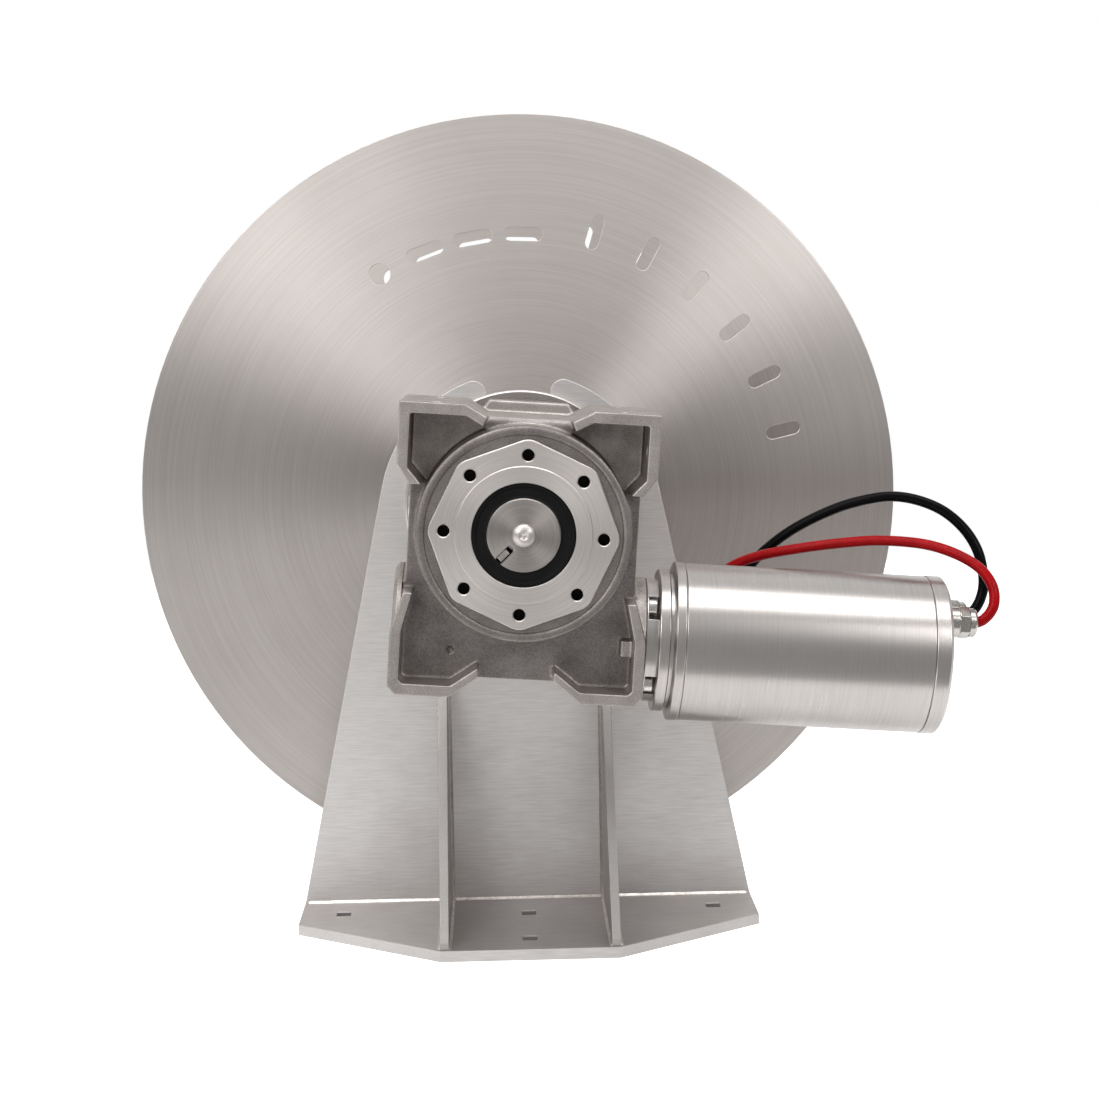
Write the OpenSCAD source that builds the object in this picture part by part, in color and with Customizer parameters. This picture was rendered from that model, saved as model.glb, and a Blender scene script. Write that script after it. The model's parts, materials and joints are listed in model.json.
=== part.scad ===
// Drum anchor winch: a rope drum between two welded pedestals, turned by a
// worm gear unit and a direct-current motor. Millimetres, +Z up. The origin is
// on the deck, under the middle of the drum. The gear unit is on the -Y side.

/* [Drum] */
// Radius of the two drum discs
disc_r = 368; // [345:1:372]
// Thickness of a disc
disc_t = 4; // [3:0.5:6]
// Rope space between the discs
drum_w = 250; // [200:5:300]
// Outside radius of the core tube
core_r = 84; // [76:1:110]
// Wall of the core tube
core_wall = 6; // [4:0.5:8]
// Radius of the rope hole in the core tube
rope_hole_r = 9; // [6:0.5:11]
// Radius of the drum shaft
shaft_r = 17.5; // [14:0.5:18.5]
// Radius of a hub flange outside a disc
hub_flange_r = 70; // [66:1:74]
// Thickness of a hub flange
hub_flange_t = 10; // [8:1:14]
// Radius of a hub boss
hub_boss_r = 38; // [30:1:44]
// Length of a hub from the disc outwards
hub_len = 52; // [40:1:60]
// Radius of the hub bolt circle
hub_bolt_circle = 56; // [52:1:60]
// Number of bolts in a hub
hub_bolt_count = 6; // [4:1:8]
// Radius of the arc that the disc slots lie on
slot_arc_r = 266; // [230:1:285]
// Width of a disc slot
slot_t = 13; // [8:1:18]
// Number of slots in the row
slot_count = 6; // [4:1:8]

/* [Pedestals] */
// Height of the drum axis above the deck
axis_z = 388; // [384:1:410]
// Gap between a disc and its side plate
plate_gap = 83; // [76:1:95]
// Thickness of a side plate
plate_t = 8; // [6:1:12]
// Half width of a side plate at its foot
plate_half = 212.5; // [190:0.5:212.5]
// Radius of the side plate's round head
head_r = 132; // [118:1:138]
// Drop of the head's centre below the drum axis
head_drop = 8; // [0:1:14]
// Width of the shaft slot in a side plate
shaft_slot_w = 60; // [50:1:64]
// Rounding of the two ears beside the shaft slot
ear_r = 12; // [6:1:18]
// Thickness of a foot plate
foot_t = 10; // [8:1:14]
// Reach of a foot plate in front of its side plate
foot_reach = 158; // [140:1:180]
// Reach of the foot plate's square ends
foot_end_reach = 68; // [50:1:90]
// Half width of a foot plate
foot_half = 213; // [213:1:225]
// Half width of the foot plate's nose
nose_half = 80; // [80:1:90]
// Width of a square bolt hole in the foot
square_hole = 13; // [11:0.5:14]
// Distance of the outer square holes from the middle
hole_x = 173; // [160:1:180]
// Thickness of a gusset
gusset_t = 8; // [6:1:10]
// Half distance between the two gussets
gusset_half = 72; // [60:1:72]
// Height of a gusset above the foot plate
gusset_h = 220; // [150:1:226]
// Width of the square tube that ties the pedestals
tie_w = 30; // [20:1:32]
// Wall of that tube
tie_wall = 3; // [2:0.5:4]
// Distance of each tie from the middle
tie_x = 180; // [165:1:185]

/* [Gear unit] */
// Distance from the worm axis to the drum axis
centre_dist = 90; // [90:1:90]
// Lean of the gear unit on its flange, in degrees
gear_roll = 4.4; // [0:0.1:8]
// Distance from the side plate to the gear unit's middle
gear_reach = 195; // [192:1:210]
// Half depth of the feet of the housing
foot_half_depth = 65; // [64:0.5:66]
// Half width over the upper feet
upper_foot_half = 106; // [104:0.5:108]
// Height of the upper feet above the drum axis
upper_foot_h = 102.5; // [101:0.5:105]
// Half width over the lower feet
lower_foot_half = 104.5; // [103:0.5:106]
// Depth of the lower feet below the drum axis
lower_foot_h = 136.5; // [134:0.5:140]
// Wall of the feet
foot_wall = 9.2; // [7:0.2:10]
// Wall of the round barrel round the worm wheel
barrel_wall = 6.5; // [6:0.5:8]
// Radius over the corners of the eight-sided bolting face
octagon_r = 76; // [74:0.5:78]
// Height of the eight-sided face above the cover
octagon_h = 3.5; // [2:0.5:4]
// Radius of the bolt circle in the eight-sided face
face_bolt_circle = 65; // [62:0.5:66]
// Radius of the threaded holes in the face, at the thread's root
face_hole_r = 4.25; // [4:0.05:4.6]
// Outside radius of the oil seals
seal_r = 42.5; // [41:0.5:44]
// Outside radius of the hollow output shaft
hollow_r = 30; // [28:0.5:31]
// Radius of the output flange
flange_r = 107.5; // [100:0.5:112]
// Thickness of the output flange's rim
flange_t = 12; // [10:1:16]
// Radius of the output flange's bolt circle
flange_bolt_circle = 87.5; // [84:0.5:92]

/* [Worm] */
// Module of the worm gear
module_m = 3; // [3:0.5:3]
// Number of teeth on the worm wheel
wheel_teeth = 50; // [50:1:50]
// Width of the wheel rim
wheel_w = 28; // [22:1:30]
// Clearance on each flank between thread and tooth
flank_gap = 0.35; // [0.3:0.05:0.5]
// Half length of the worm's thread
thread_half = 24; // [16:1:28]

/* [Motor] */
// Radius of the motor can
can_r = 66.5; // [62:0.5:68]
// Wall of the motor can
can_wall = 5; // [4:0.5:6]
// Length of the motor can
can_len = 212; // [200:1:224]
// Radius of the motor's end rings
ring_r = 67; // [66.5:0.5:69]
// Length of the motor's front ring
front_ring_len = 9; // [8:1:12]
// Length of the motor's rear cap
rear_cap_len = 16; // [14:1:20]
// Radius of the adapter flange
adapter_r = 60; // [56:0.5:62]
// Radius of the adapter's neck
neck_r = 52; // [50:0.5:54]
// Radius of each motor lead
lead_r = 4.5; // [4:0.25:5]
// Width across the corners of a gland hexagon
gland_hex = 27; // [24:0.5:28]
// Distance of each gland from the motor's middle plane
gland_v = 20; // [18:0.5:22]
// Height of the glands above the motor's axis
gland_w = 32; // [28:0.5:34]

/* [Hidden] */
$fn = 64;

// Clearances: between fixed faces, round a shaft, and round a bolt
seat = 0.05;
run_gap = 0.3;
bolt_gap = 0.25;

// Finishes
stainless = [0.72, 0.71, 0.70];
bright = [0.82, 0.82, 0.82];
cast = [0.55, 0.54, 0.52];
bronze = [0.70, 0.52, 0.28];
black = [0.06, 0.06, 0.06];
red = [0.78, 0.05, 0.06];

// Places along the drum axis
disc_out = drum_w / 2 + disc_t;
plate_in = disc_out + plate_gap;
plate_out = plate_in + plate_t;
gear_y = -(plate_out + gear_reach);
head_z = axis_z - head_drop;
foot_front = plate_out + foot_reach;
foot_end = plate_out + foot_end_reach;

// Worm gear, all from its module
pitch_r = module_m * wheel_teeth / 2;
wheel_r = pitch_r + module_m;
worm_pitch_r = centre_dist - pitch_r;
worm_tip_r = worm_pitch_r + module_m;
worm_root_r = worm_pitch_r - 1.2 * module_m;
worm_lead = PI * module_m;
lead_angle = atan(worm_lead / (2 * PI * worm_pitch_r));
thread_half_t = worm_lead / 4 - flank_gap / 2;
worm_w = -centre_dist;
cavity_r = wheel_r + 3.5;
barrel_r = cavity_r + barrel_wall;

// Places along the output shaft, from the gear unit's middle plane
face_v = foot_half_depth + 5;
cover_face_v = face_v - octagon_h;
cover_seat_v = 50;
bearing_w = 18;
bearing_r = 47.5;
bearing_v = 40;
seal_w = 8;
hollow_v = face_v - 4;
seal_v = bearing_v + bearing_w + 2;
lid_t = 4.5;
rear_wall_v = 34;

// Places along the worm axis, from the drum axis
side_u = 95;
boss_u = 106;
cap_u = -97;
cap_t = 7;
neck_u = boss_u;
neck_len = 10;
adapter_len = 13;
motor_u = neck_u + neck_len + adapter_len;
can_u = motor_u + front_ring_len;
rear_u = can_u + can_len;
motor_end_u = rear_u + rear_cap_len;

// A cylinder along Y, and one along X
module along_y(r, y0, y1, x = 0, z = 0) {
  translate([x, y0, z]) rotate([-90, 0, 0]) cylinder(h = y1 - y0, r = r);
}
module along_x(r, x0, x1, y = 0, z = 0) {
  translate([x0, y, z]) rotate([0, 90, 0]) cylinder(h = x1 - x0, r = r);
}

// A profile of [radius, place] points turned about Y, or about X
module turned_y(profile) {
  rotate([-90, 0, 0]) rotate_extrude() polygon(profile);
}
module turned_x(profile) {
  rotate([0, 90, 0]) rotate_extrude() polygon(profile);
}

// A flat shape drawn in X and Z, from y0 to y1
module sheet_xz(y0, y1) {
  translate([0, y1, 0]) rotate([90, 0, 0]) linear_extrude(height = y1 - y0) children();
}

// A flat shape drawn in Y and Z, from x0 to x1
module sheet_yz(x0, x1) {
  translate([x0, 0, 0]) rotate([90, 0, 90]) linear_extrude(height = x1 - x0) children();
}

// The gear unit's own frame: u along the worm, v along the output shaft, w up
module gear_frame() {
  translate([0, gear_y, axis_z]) rotate([0, gear_roll, 0]) children();
}

// The frame of the worm and the motor, on the worm's axis
module worm_frame() {
  gear_frame() translate([0, 0, worm_w]) children();
}

// Copies turned about Y, evenly spaced on a circle in X and Z
module ring_xz(count, r, first = 0) {
  for (i = [0 : count - 1]) {
    a = first + i * 360 / count;
    translate([r * cos(a), 0, r * sin(a)]) children();
  }
}

// Copies spaced on a circle round the worm's axis
module ring_vw(count, r, first = 0) {
  for (i = [0 : count - 1]) {
    a = first + i * 360 / count;
    translate([0, r * cos(a), r * sin(a)]) children();
  }
}

// A hexagon-head bolt along +Y: head, washer and shank, its seat at y = 0
module hex_bolt(shank_r, length, head_r, head_t, washer_t) {
  rotate([90, 0, 0]) {
    cylinder(h = washer_t, r = head_r * 1.12);
    translate([0, 0, washer_t]) intersection() {
      cylinder(h = head_t, r = head_r, $fn = 6);
      cylinder(h = head_t, r = head_r * 0.97);
    }
    translate([0, 0, -length]) cylinder(h = length, r = shank_r);
  }
}

// A socket-head screw along +X: its head starts at x = 0 and its shank goes to -X
module socket_screw(shank_r, length, head_r, head_t) {
  difference() {
    union() {
      along_x(head_r, 0, head_t);
      along_x(shank_r, -length, 0);
    }
    translate([head_t * 0.45, 0, 0]) rotate([0, 90, 0]) cylinder(h = head_t, r = head_r * 0.5, $fn = 6);
  }
}

// The balls of one bearing in the XZ plane, at y
module balls_y(count, r, ball_r, y) {
  translate([0, y, 0]) ring_xz(count, r) sphere(r = ball_r, $fn = 24);
}
module balls_x(count, r, ball_r, x) {
  translate([x, 0, 0]) ring_vw(count, r) sphere(r = ball_r, $fn = 24);
}

// The tangent point on a circle, seen from an outside point on its right
function tangent(p, c, r) =
  let (d = norm(p - c), a = atan2(p.y - c.y, p.x - c.x), b = acos(r / d))
  [c.x + r * cos(a + b), c.y + r * sin(a + b)];

// Side plate: straight flanks that run into the round head
module plate_outline() {
  base = [plate_half, foot_t];
  touch = tangent(base, [0, head_z], head_r);
  polygon([base, touch, [-touch.x, touch.y], [-base.x, base.y]]);
  translate([0, head_z]) circle(head_r, $fn = 128);
}

// What is cut from one ear to round it between the slot and the head
module ear_cut() {
  half = shaft_slot_w / 2;
  ear_z = head_z + sqrt(pow(head_r - ear_r, 2) - pow(half + ear_r, 2));
  touch_x = (half + ear_r) * head_r / (head_r - ear_r);
  difference() {
    translate([half - 1, ear_z]) square([touch_x - half + 1, head_r]);
    translate([half + ear_r, ear_z]) circle(ear_r);
  }
}

module side_plate_at(y0, y1, bolt_circle, bolt_r) {
  difference() {
    sheet_xz(y0, y1) difference() {
      plate_outline();
      translate([-shaft_slot_w / 2, axis_z]) square([shaft_slot_w, 2 * head_r]);
      translate([0, axis_z]) circle(shaft_slot_w / 2);
      ear_cut();
      mirror([1, 0]) ear_cut();
    }
    translate([0, 0, axis_z]) ring_xz(4, bolt_circle, 45) along_y(bolt_r + bolt_gap, y0 - 1, y1 + 1);
  }
}

module foot_at() {
  hole_y = foot_end - 31;
  linear_extrude(height = foot_t) difference() {
    polygon([[-foot_half, plate_in], [-foot_half, foot_end], [-nose_half, foot_front],
      [nose_half, foot_front], [foot_half, foot_end], [foot_half, plate_in]]);
    for (p = [[-hole_x, hole_y], [hole_x, hole_y], [0, hole_y + 10], [0, foot_front - 33]])
      translate(p - [square_hole, square_hole] / 2) square(square_hole);
  }
}

module gussets_at() {
  land = 12;
  for (x = [-gusset_half - gusset_t, gusset_half])
    sheet_yz(x, x + gusset_t) polygon([[plate_out, foot_t], [foot_front - 3, foot_t],
      [foot_front - 3, foot_t + 6], [plate_out + land, foot_t + gusset_h],
      [plate_out, foot_t + gusset_h]]);
}

flange_bolt_r = 6;
bearing_bolt_circle = 57;
bearing_bolt_r = 6;

module near_side_plate() {
  color(stainless) side_plate_at(-plate_out, -plate_in, flange_bolt_circle, flange_bolt_r);
}
module far_side_plate() {
  color(stainless) side_plate_at(plate_in, plate_out, bearing_bolt_circle, bearing_bolt_r);
}
module near_foot_plate() { color(stainless) mirror([0, 1, 0]) foot_at(); }
module far_foot_plate() { color(stainless) foot_at(); }
module near_gussets() { color(stainless) mirror([0, 1, 0]) gussets_at(); }
module far_gussets() { color(stainless) gussets_at(); }

module tie_tubes() {
  tie_z = foot_t + 5;
  color(stainless) for (x = [-tie_x, tie_x])
    translate([x, 0, tie_z + tie_w / 2]) sheet_xz(-plate_in, plate_in) difference() {
      square(tie_w, center = true);
      square(tie_w - 2 * tie_wall, center = true);
    }
}

// Far bearing: housing bolted outside the far side plate
far_boss_r = 46;
far_ring_r = 36;
far_inner_r = shaft_r + 5;
far_bearing_w = 17;
far_flange_t = 12;
far_flange_r = 72;
far_seat_y = plate_out + 8;
far_boss_y = far_seat_y + far_bearing_w + 3;
module far_bearing_housing() {
  color(cast) translate([0, 0, axis_z]) difference() {
    turned_y([[far_ring_r - 4, plate_out], [far_flange_r, plate_out],
      [far_flange_r, plate_out + far_flange_t - 2], [far_flange_r - 2, plate_out + far_flange_t],
      [far_boss_r + 2, plate_out + far_flange_t], [far_boss_r, plate_out + far_flange_t + 3],
      [far_boss_r - 2, far_boss_y], [far_ring_r + seat, far_boss_y],
      [far_ring_r + seat, far_seat_y], [far_ring_r - 4, far_seat_y]]);
    ring_xz(4, bearing_bolt_circle, 45) {
      along_y(bearing_bolt_r + bolt_gap, plate_out - 1, plate_out + far_flange_t + 1);
      along_y(12.5, plate_out + far_flange_t, far_boss_y + 1);
    }
  }
}
far_ball_r = (far_ring_r - 4 - far_inner_r) / 2;
far_ball_circle = far_inner_r + far_ball_r;
module far_bearing_outer() {
  color(bright) translate([0, 0, axis_z]) turned_y([
    [far_ring_r - 4, far_seat_y], [far_ring_r, far_seat_y],
    [far_ring_r, far_seat_y + far_bearing_w], [far_ring_r - 4, far_seat_y + far_bearing_w]]);
}
module far_bearing_inner() {
  color(bright) translate([0, 0, axis_z]) {
    turned_y([[shaft_r + seat, far_seat_y], [far_inner_r, far_seat_y],
      [far_inner_r, far_seat_y + far_bearing_w], [shaft_r + seat, far_seat_y + far_bearing_w]]);
    balls_y(9, far_ball_circle, far_ball_r - 0.15, far_seat_y + far_bearing_w / 2);
  }
}
module far_bearing_bolts() {
  color(bright) translate([0, 0, axis_z]) ring_xz(4, bearing_bolt_circle, 45) {
    translate([0, plate_out + far_flange_t, 0]) mirror([0, 1, 0])
      hex_bolt(bearing_bolt_r, far_flange_t + plate_t + 12, 10.4, 7.5, 2);
    nut_y(plate_in - 10, 10, 10.4, bearing_bolt_r);
  }
}
module nut_y(y, t, r, bolt_r) {
  translate([0, y + t, 0]) rotate([90, 0, 0]) difference() {
    cylinder(h = t, r = r, $fn = 6);
    translate([0, 0, -1]) cylinder(h = t + 2, r = bolt_r + seat);
  }
}
module far_bearing_cap() {
  color(stainless) translate([0, 0, axis_z]) turned_y([
    [0, far_boss_y + 6], [0, far_boss_y + 9], [far_boss_r - 8, far_boss_y + 9],
    [far_boss_r - 2, far_boss_y + 4], [far_boss_r - 2, far_boss_y],
    [far_ring_r + 1, far_boss_y], [far_ring_r + 1, far_boss_y + 4], [far_ring_r - 2, far_boss_y + 6]]);
}

// Drum shaft: from inside the hollow shaft to the far bearing
shaft_near_y = gear_y - hollow_v + 6;
shaft_far_y = far_boss_y + 1;
key_w = 10;
key_h = 8;
key_deep = 5;
key_y0 = gear_y - 40;
key_y1 = gear_y + 40;
module drum_shaft() {
  color(bright) translate([0, 0, axis_z]) difference() {
    turned_y([[0, shaft_near_y], [shaft_r - 1.5, shaft_near_y], [shaft_r, shaft_near_y + 1.5],
      [shaft_r, shaft_far_y - 1.5], [shaft_r - 1.5, shaft_far_y], [0, shaft_far_y]]);
    along_y(5 + seat, shaft_near_y - 1, shaft_near_y + 28);
    translate([-key_w / 2 - seat, key_y0 - seat, shaft_r - key_deep])
      cube([key_w + 2 * seat, key_y1 - key_y0 + 2 * seat, 10]);
  }
}
module shaft_key() {
  color(bright) translate([-key_w / 2, key_y0, axis_z + shaft_r - key_deep])
    cube([key_w, key_y1 - key_y0, key_h]);
}

hub_bolt_r = 5;

// Plain slots cut through a disc: a row along its upper right and three at its top
module obround(length, width) {
  square([length - width, width], center = true);
  for (s = [-1, 1]) translate([s * (length - width) / 2, 0]) circle(width / 2);
}
module disc_slots() {
  slot_len = 34;
  first_angle = 73;
  last_angle = 13;
  for (i = [0 : slot_count - 1])
    rotate(first_angle + (last_angle - first_angle) * i / (slot_count - 1))
      translate([slot_arc_r, 0]) obround(slot_len, slot_t);
  for (a = [88, 99, 110]) rotate(a) translate([slot_arc_r - 12, 0]) rotate(90) obround(38, slot_t);
  rotate(121) translate([slot_arc_r - 12, 0]) circle(slot_t * 0.8);
}
module disc_at(y0) {
  difference() {
    sheet_xz(y0, y0 + disc_t) difference() {
      circle(disc_r, $fn = 256);
      disc_slots();
    }
    along_y(shaft_r + bolt_gap, y0 - 1, y0 + disc_t + 1);
    ring_xz(hub_bolt_count, hub_bolt_circle)
      along_y(hub_bolt_r + bolt_gap, y0 - 1, y0 + disc_t + 1);
  }
}
module near_disc() { color(stainless) translate([0, 0, axis_z]) disc_at(-disc_out); }
module far_disc() { color(stainless) translate([0, 0, axis_z]) disc_at(disc_out - disc_t); }

rope_hole_angle = 55;
module drum_core() {
  y = drum_w / 2;
  bore = core_r - core_wall;
  color(stainless) translate([0, 0, axis_z]) difference() {
    turned_y([[bore, -y], [core_r, -y], [core_r, y], [bore, y]]);
    rotate([0, rope_hole_angle, 0]) translate([0, 30 - y, 0]) cylinder(h = core_r + 5, r = rope_hole_r);
  }
}

// Hub: a flange bolted to the disc and a long boss keyed on the shaft
module hub_outside() {
  difference() {
    turned_y([[shaft_r + seat, disc_out], [hub_flange_r, disc_out],
      [hub_flange_r, disc_out + hub_flange_t - 1.5], [hub_flange_r - 1.5, disc_out + hub_flange_t],
      [hub_boss_r + 4, disc_out + hub_flange_t], [hub_boss_r, disc_out + hub_flange_t + 4],
      [hub_boss_r, disc_out + hub_len - 2], [hub_boss_r - 2, disc_out + hub_len],
      [shaft_r + seat, disc_out + hub_len]]);
    ring_xz(hub_bolt_count, hub_bolt_circle)
      along_y(hub_bolt_r + bolt_gap, disc_out - 1, disc_out + hub_flange_t + 1);
  }
}
module near_hub() { color(stainless) translate([0, 0, axis_z]) mirror([0, 1, 0]) hub_outside(); }
module far_hub() { color(stainless) translate([0, 0, axis_z]) hub_outside(); }
module hub_bolt_set() {
  ring_xz(hub_bolt_count, hub_bolt_circle) {
    translate([0, disc_out + hub_flange_t, 0]) mirror([0, 1, 0])
      hex_bolt(hub_bolt_r, hub_flange_t + disc_t + 10, 9, 6.4, 2);
    nut_y(disc_out - disc_t - 8, 8, 9, hub_bolt_r);
  }
}
module hub_bolts() {
  color(bright) translate([0, 0, axis_z]) {
    hub_bolt_set();
    mirror([0, 1, 0]) hub_bolt_set();
  }
}

// Retaining disc on the end of the hollow shaft, with a slot for the lock tab
tab_w = 4.6;
tab_angle = 228;
tab_r0 = 18.4;
tab_depth = 4;
tab_gap = 0.9;
tab_slot_w = tab_w + tab_gap + 0.1;
tab_hole_r0 = 16.4;
module tab_slot(v0, v1) {
  z0 = -tab_w / 2 - 0.1;
  translate([tab_hole_r0, v0, z0]) cube([hollow_r, v1 - v0, tab_slot_w]);
  along_y(tab_slot_w / 2, v0, v1, tab_hole_r0, z0 + tab_slot_w / 2);
}
module retaining_disc() {
  v = -hollow_v;
  color(bright) gear_frame() difference() {
    turned_y([[5 + bolt_gap, v - lid_t], [hollow_r - 1.2, v - lid_t], [hollow_r, v - lid_t + 1.2],
      [hollow_r, v], [5 + bolt_gap, v]]);
    rotate([0, -tab_angle, 0]) tab_slot(v - lid_t - 1, v + 1);
  }
}
module lock_tab() {
  v = -hollow_v;
  color(bright) gear_frame() rotate([0, -tab_angle, 0])
    translate([tab_r0, v - lid_t + 0.3, -tab_w / 2])
      cube([hollow_r - tab_r0 - 2, lid_t - 0.3 + tab_depth, tab_w]);
}
module retaining_screw() {
  v = -hollow_v - lid_t;
  color(bright) gear_frame() difference() {
    turned_y([[0, v - 5], [4.5, v - 5], [7.6, v - 3.8], [9.3, v - 1.6], [9.5, v],
      [5, v], [5, shaft_near_y - gear_y + 25], [0, shaft_near_y - gear_y + 25]]);
    translate([0, v - 2, 0]) rotate([90, 0, 0]) cylinder(h = 5, r = 3.4, $fn = 6);
  }
}

// Housing outline with its four corner feet. Between the feet the body is web_v deep on each side.
housing_top = 93;
housing_bottom = 124.5;
body_side_low = -52;
body_side_top = 36;
foot_inner_u = 53.5;
wall_end_u = 31;
wall_end_w = -housing_bottom + 5;
module housing_outline() {
  low = -lower_foot_h;
  right = [[side_u, body_side_low], [lower_foot_half, -84], [lower_foot_half, low + 6.5],
    [lower_foot_half - 6.5, low], [foot_inner_u, low], [wall_end_u + 6.5, -housing_bottom]];
  right_top = [[34.5, housing_top], [52, upper_foot_h], [upper_foot_half, upper_foot_h],
    [upper_foot_half, 51], [side_u, body_side_top]];
  left = [for (i = [0 : len(right) - 1]) let (p = right[len(right) - 1 - i]) [-p.x, p.y]];
  left_top = [for (i = [0 : len(right_top) - 1]) let (p = right_top[len(right_top) - 1 - i]) [-p.x, p.y]];
  polygon(concat(right_top, right, left, left_top));
}
module upper_pocket() {
  top = upper_foot_h - foot_wall;
  out = upper_foot_half - foot_wall;
  difference() {
    polygon([[out, top], [51.5, top], [37.5, housing_top - 7.5], [30, 68], [68, 30],
      [84.5, 35.5], [out, 49.5]]);
    circle(barrel_r);
  }
}

// All that is cut outside the barrel below the upper feet: only the walls of the lower feet stay
module web_cut() {
  bottom = -lower_foot_h + foot_wall;
  out = lower_foot_half - foot_wall;
  slope = (lower_foot_h + wall_end_w) / (foot_inner_u - wall_end_u);
  difference() {
    polygon([[-1, 0], [-1, -housing_bottom - 2], [wall_end_u + 8, -housing_bottom - 2],
      [wall_end_u + 8, wall_end_w - 8 * slope], [wall_end_u, wall_end_w], [wall_end_u, wall_end_w + 8.5],
      [foot_inner_u, bottom], [out - 3, bottom], [out, bottom + 3], [out, -84],
      [87.6, body_side_low], [side_u + 2, body_side_low], [side_u + 2, body_side_top], [60, body_side_top]]);
    circle(barrel_r);
  }
}

// The bridge between the upper feet, set back like the web and rounded over at its front
bridge_r = 6;
module bridge_cut() {
  half = 34.5;
  difference() {
    sheet_xz(-foot_half_depth - 1, bridge_r - web_v) difference() {
      polygon([[-37.5, housing_top - 7.5], [-half, housing_top], [-half, upper_foot_h + 1],
        [half, upper_foot_h + 1], [half, housing_top], [37.5, housing_top - 7.5], [30, 68], [-30, 68]]);
      circle(barrel_r);
    }
    along_x(bridge_r, -half - 5, half + 5, bridge_r - web_v, housing_top - bridge_r);
    translate([-half - 5, -web_v, 60]) cube([2 * half + 10, 20, housing_top - bridge_r - 60]);
  }
}
upper_web_v = 5;
web_v = 33;
cover_bolt_circle = (cavity_r + barrel_r) / 2;
cover_bolt_r = 2.5;
face_chamfer = 0.75;
face_hole_depth = 15;
flange_screw_r = 5;
dimple_r = 3.2;
foot_bolt_r = 6.5;
side_hole_r = 4;
side_hole_v = 54;
side_hole_w = -112;
worm_bore_r = 26;
end_cap_r = 54;
screw_grip = 9;
module gear_housing() {
  hd = foot_half_depth;
  color(cast) gear_frame() {
    difference() {
      union() {
        sheet_xz(-hd, hd) housing_outline();
        along_y(octagon_r, hd - 1, face_v);
        along_x(end_cap_r, cap_u, -side_u + 8, 0, worm_w);
        along_x(neck_r, side_u - 8, boss_u, 0, worm_w);
        sheet_xz(hd - 22, hd) polygon([[-43, 90], [-34, 103], [34, 103], [43, 90]]);
      }
      along_y(barrel_r + seat, -hd - 1, -cover_seat_v);
      bridge_cut();
      for (s = [0, 1]) mirror([s, 0, 0]) {
        for (front = [0, 1]) mirror([0, front, 0]) {
          sheet_xz(upper_web_v, hd + 1) upper_pocket();
          sheet_xz(web_v, hd + 1) web_cut();
        }
        for (v = [-45, 45]) {
          translate([76, v, upper_foot_h - 30]) cylinder(h = 40, r = foot_bolt_r);
          along_x(foot_bolt_r, upper_foot_half - 20, upper_foot_half + 5, v, 72);
        }
        for (v = [-side_hole_v, side_hole_v])
          along_x(side_hole_r, lower_foot_half - 20, lower_foot_half + 5, v, side_hole_w);
      }
      // Room for the end cap between the lower left feet
      along_x(end_cap_r + run_gap, cap_u - cap_t - 3, cap_u, 0, worm_w);
      // Oil space for the wheel, open at the front, and the rear bearing and seal seats
      along_y(cavity_r, -hd - 1, rear_wall_v);
      along_y(bearing_r + seat, rear_wall_v - 1, bearing_v + bearing_w);
      along_y(seal_r + seat, bearing_v + bearing_w - 1, face_v + 1);
      along_x(worm_bore_r + seat, cap_u - 1, boss_u + 1, 0, worm_w);
      // Threaded holes for the output flange, the front cover and the adapter
      ring_xz(8, face_bolt_circle, 0) along_y(flange_screw_r + 0.1, face_v - 20, face_v + 1);
      ring_xz(8, cover_bolt_circle, 22.5)
        along_y(cover_bolt_r + 0.1, -cover_seat_v - 1, -cover_seat_v + 16);
      translate([0, 0, worm_w]) ring_vw(4, adapter_screw_circle, 45)
        along_x(adapter_screw_r + bolt_gap, boss_u - screw_grip, boss_u + 1);
      along_y(dimple_r, -web_v - 1, -web_v + 2.5, -55, -102.5);
    }
    // A square pad in the corner of the lower right foot
    sheet_xz(-web_v - 12, -web_v + 1) translate([85.5, -99.5]) square([12, 14]);
  }
}

// Front cover: spigot, bearing seat, beaded rim and the eight-sided bolting face
module octagon(r) {
  intersection() {
    circle(r * 1.035, $fn = 8);
    circle(r);
  }
}
module gear_front_cover() {
  f = -cover_face_v;
  color(cast) gear_frame() difference() {
    union() {
      turned_y([[bearing_r + seat, -bearing_v + 2], [cavity_r - seat, -bearing_v + 2],
        [cavity_r - seat, -cover_seat_v], [barrel_r - seat, -cover_seat_v], [barrel_r - seat, f + 4.5],
        [barrel_r - 1, f + 2], [barrel_r - 2.5, f + 0.6], [barrel_r - 4.2, f + 0.2],
        [barrel_r - 5.8, f + 0.8], [barrel_r - 7, f + 2], [octagon_r + 1, f + 2], [octagon_r, f],
        [seal_r + seat, f], [seal_r + seat, -bearing_v - bearing_w],
        [bearing_r + seat, -bearing_v - bearing_w]]);
      sheet_xz(-face_v, f + 2.2) octagon(octagon_r);
    }
    along_y(seal_r + seat, -face_v - 1, f + 5);
    difference() {
      along_y(56, -face_v - 1, -face_v + 0.8);
      along_y(seal_r, -face_v - 2, -face_v + 1);
    }
    ring_xz(8, face_bolt_circle, 0) {
      along_y(face_hole_r, -face_v - 1, -face_v + face_hole_depth);
      translate([0, -face_v, 0]) rotate([-90, 0, 0])
        cylinder(h = face_chamfer, r1 = face_hole_r + face_chamfer, r2 = face_hole_r);
    }
    ring_xz(8, cover_bolt_circle, 22.5)
      along_y(cover_bolt_r + bolt_gap, -cover_screw_v - run_gap, -bearing_v);
  }
}

// Cover screws, which go into the cover from behind and don't reach its front
cover_screw_v = cover_face_v - 5;
module cover_screws() {
  color(bright) gear_frame() ring_xz(8, cover_bolt_circle, 22.5)
    along_y(cover_bolt_r, -cover_screw_v, -cover_seat_v + 14);
}

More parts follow.
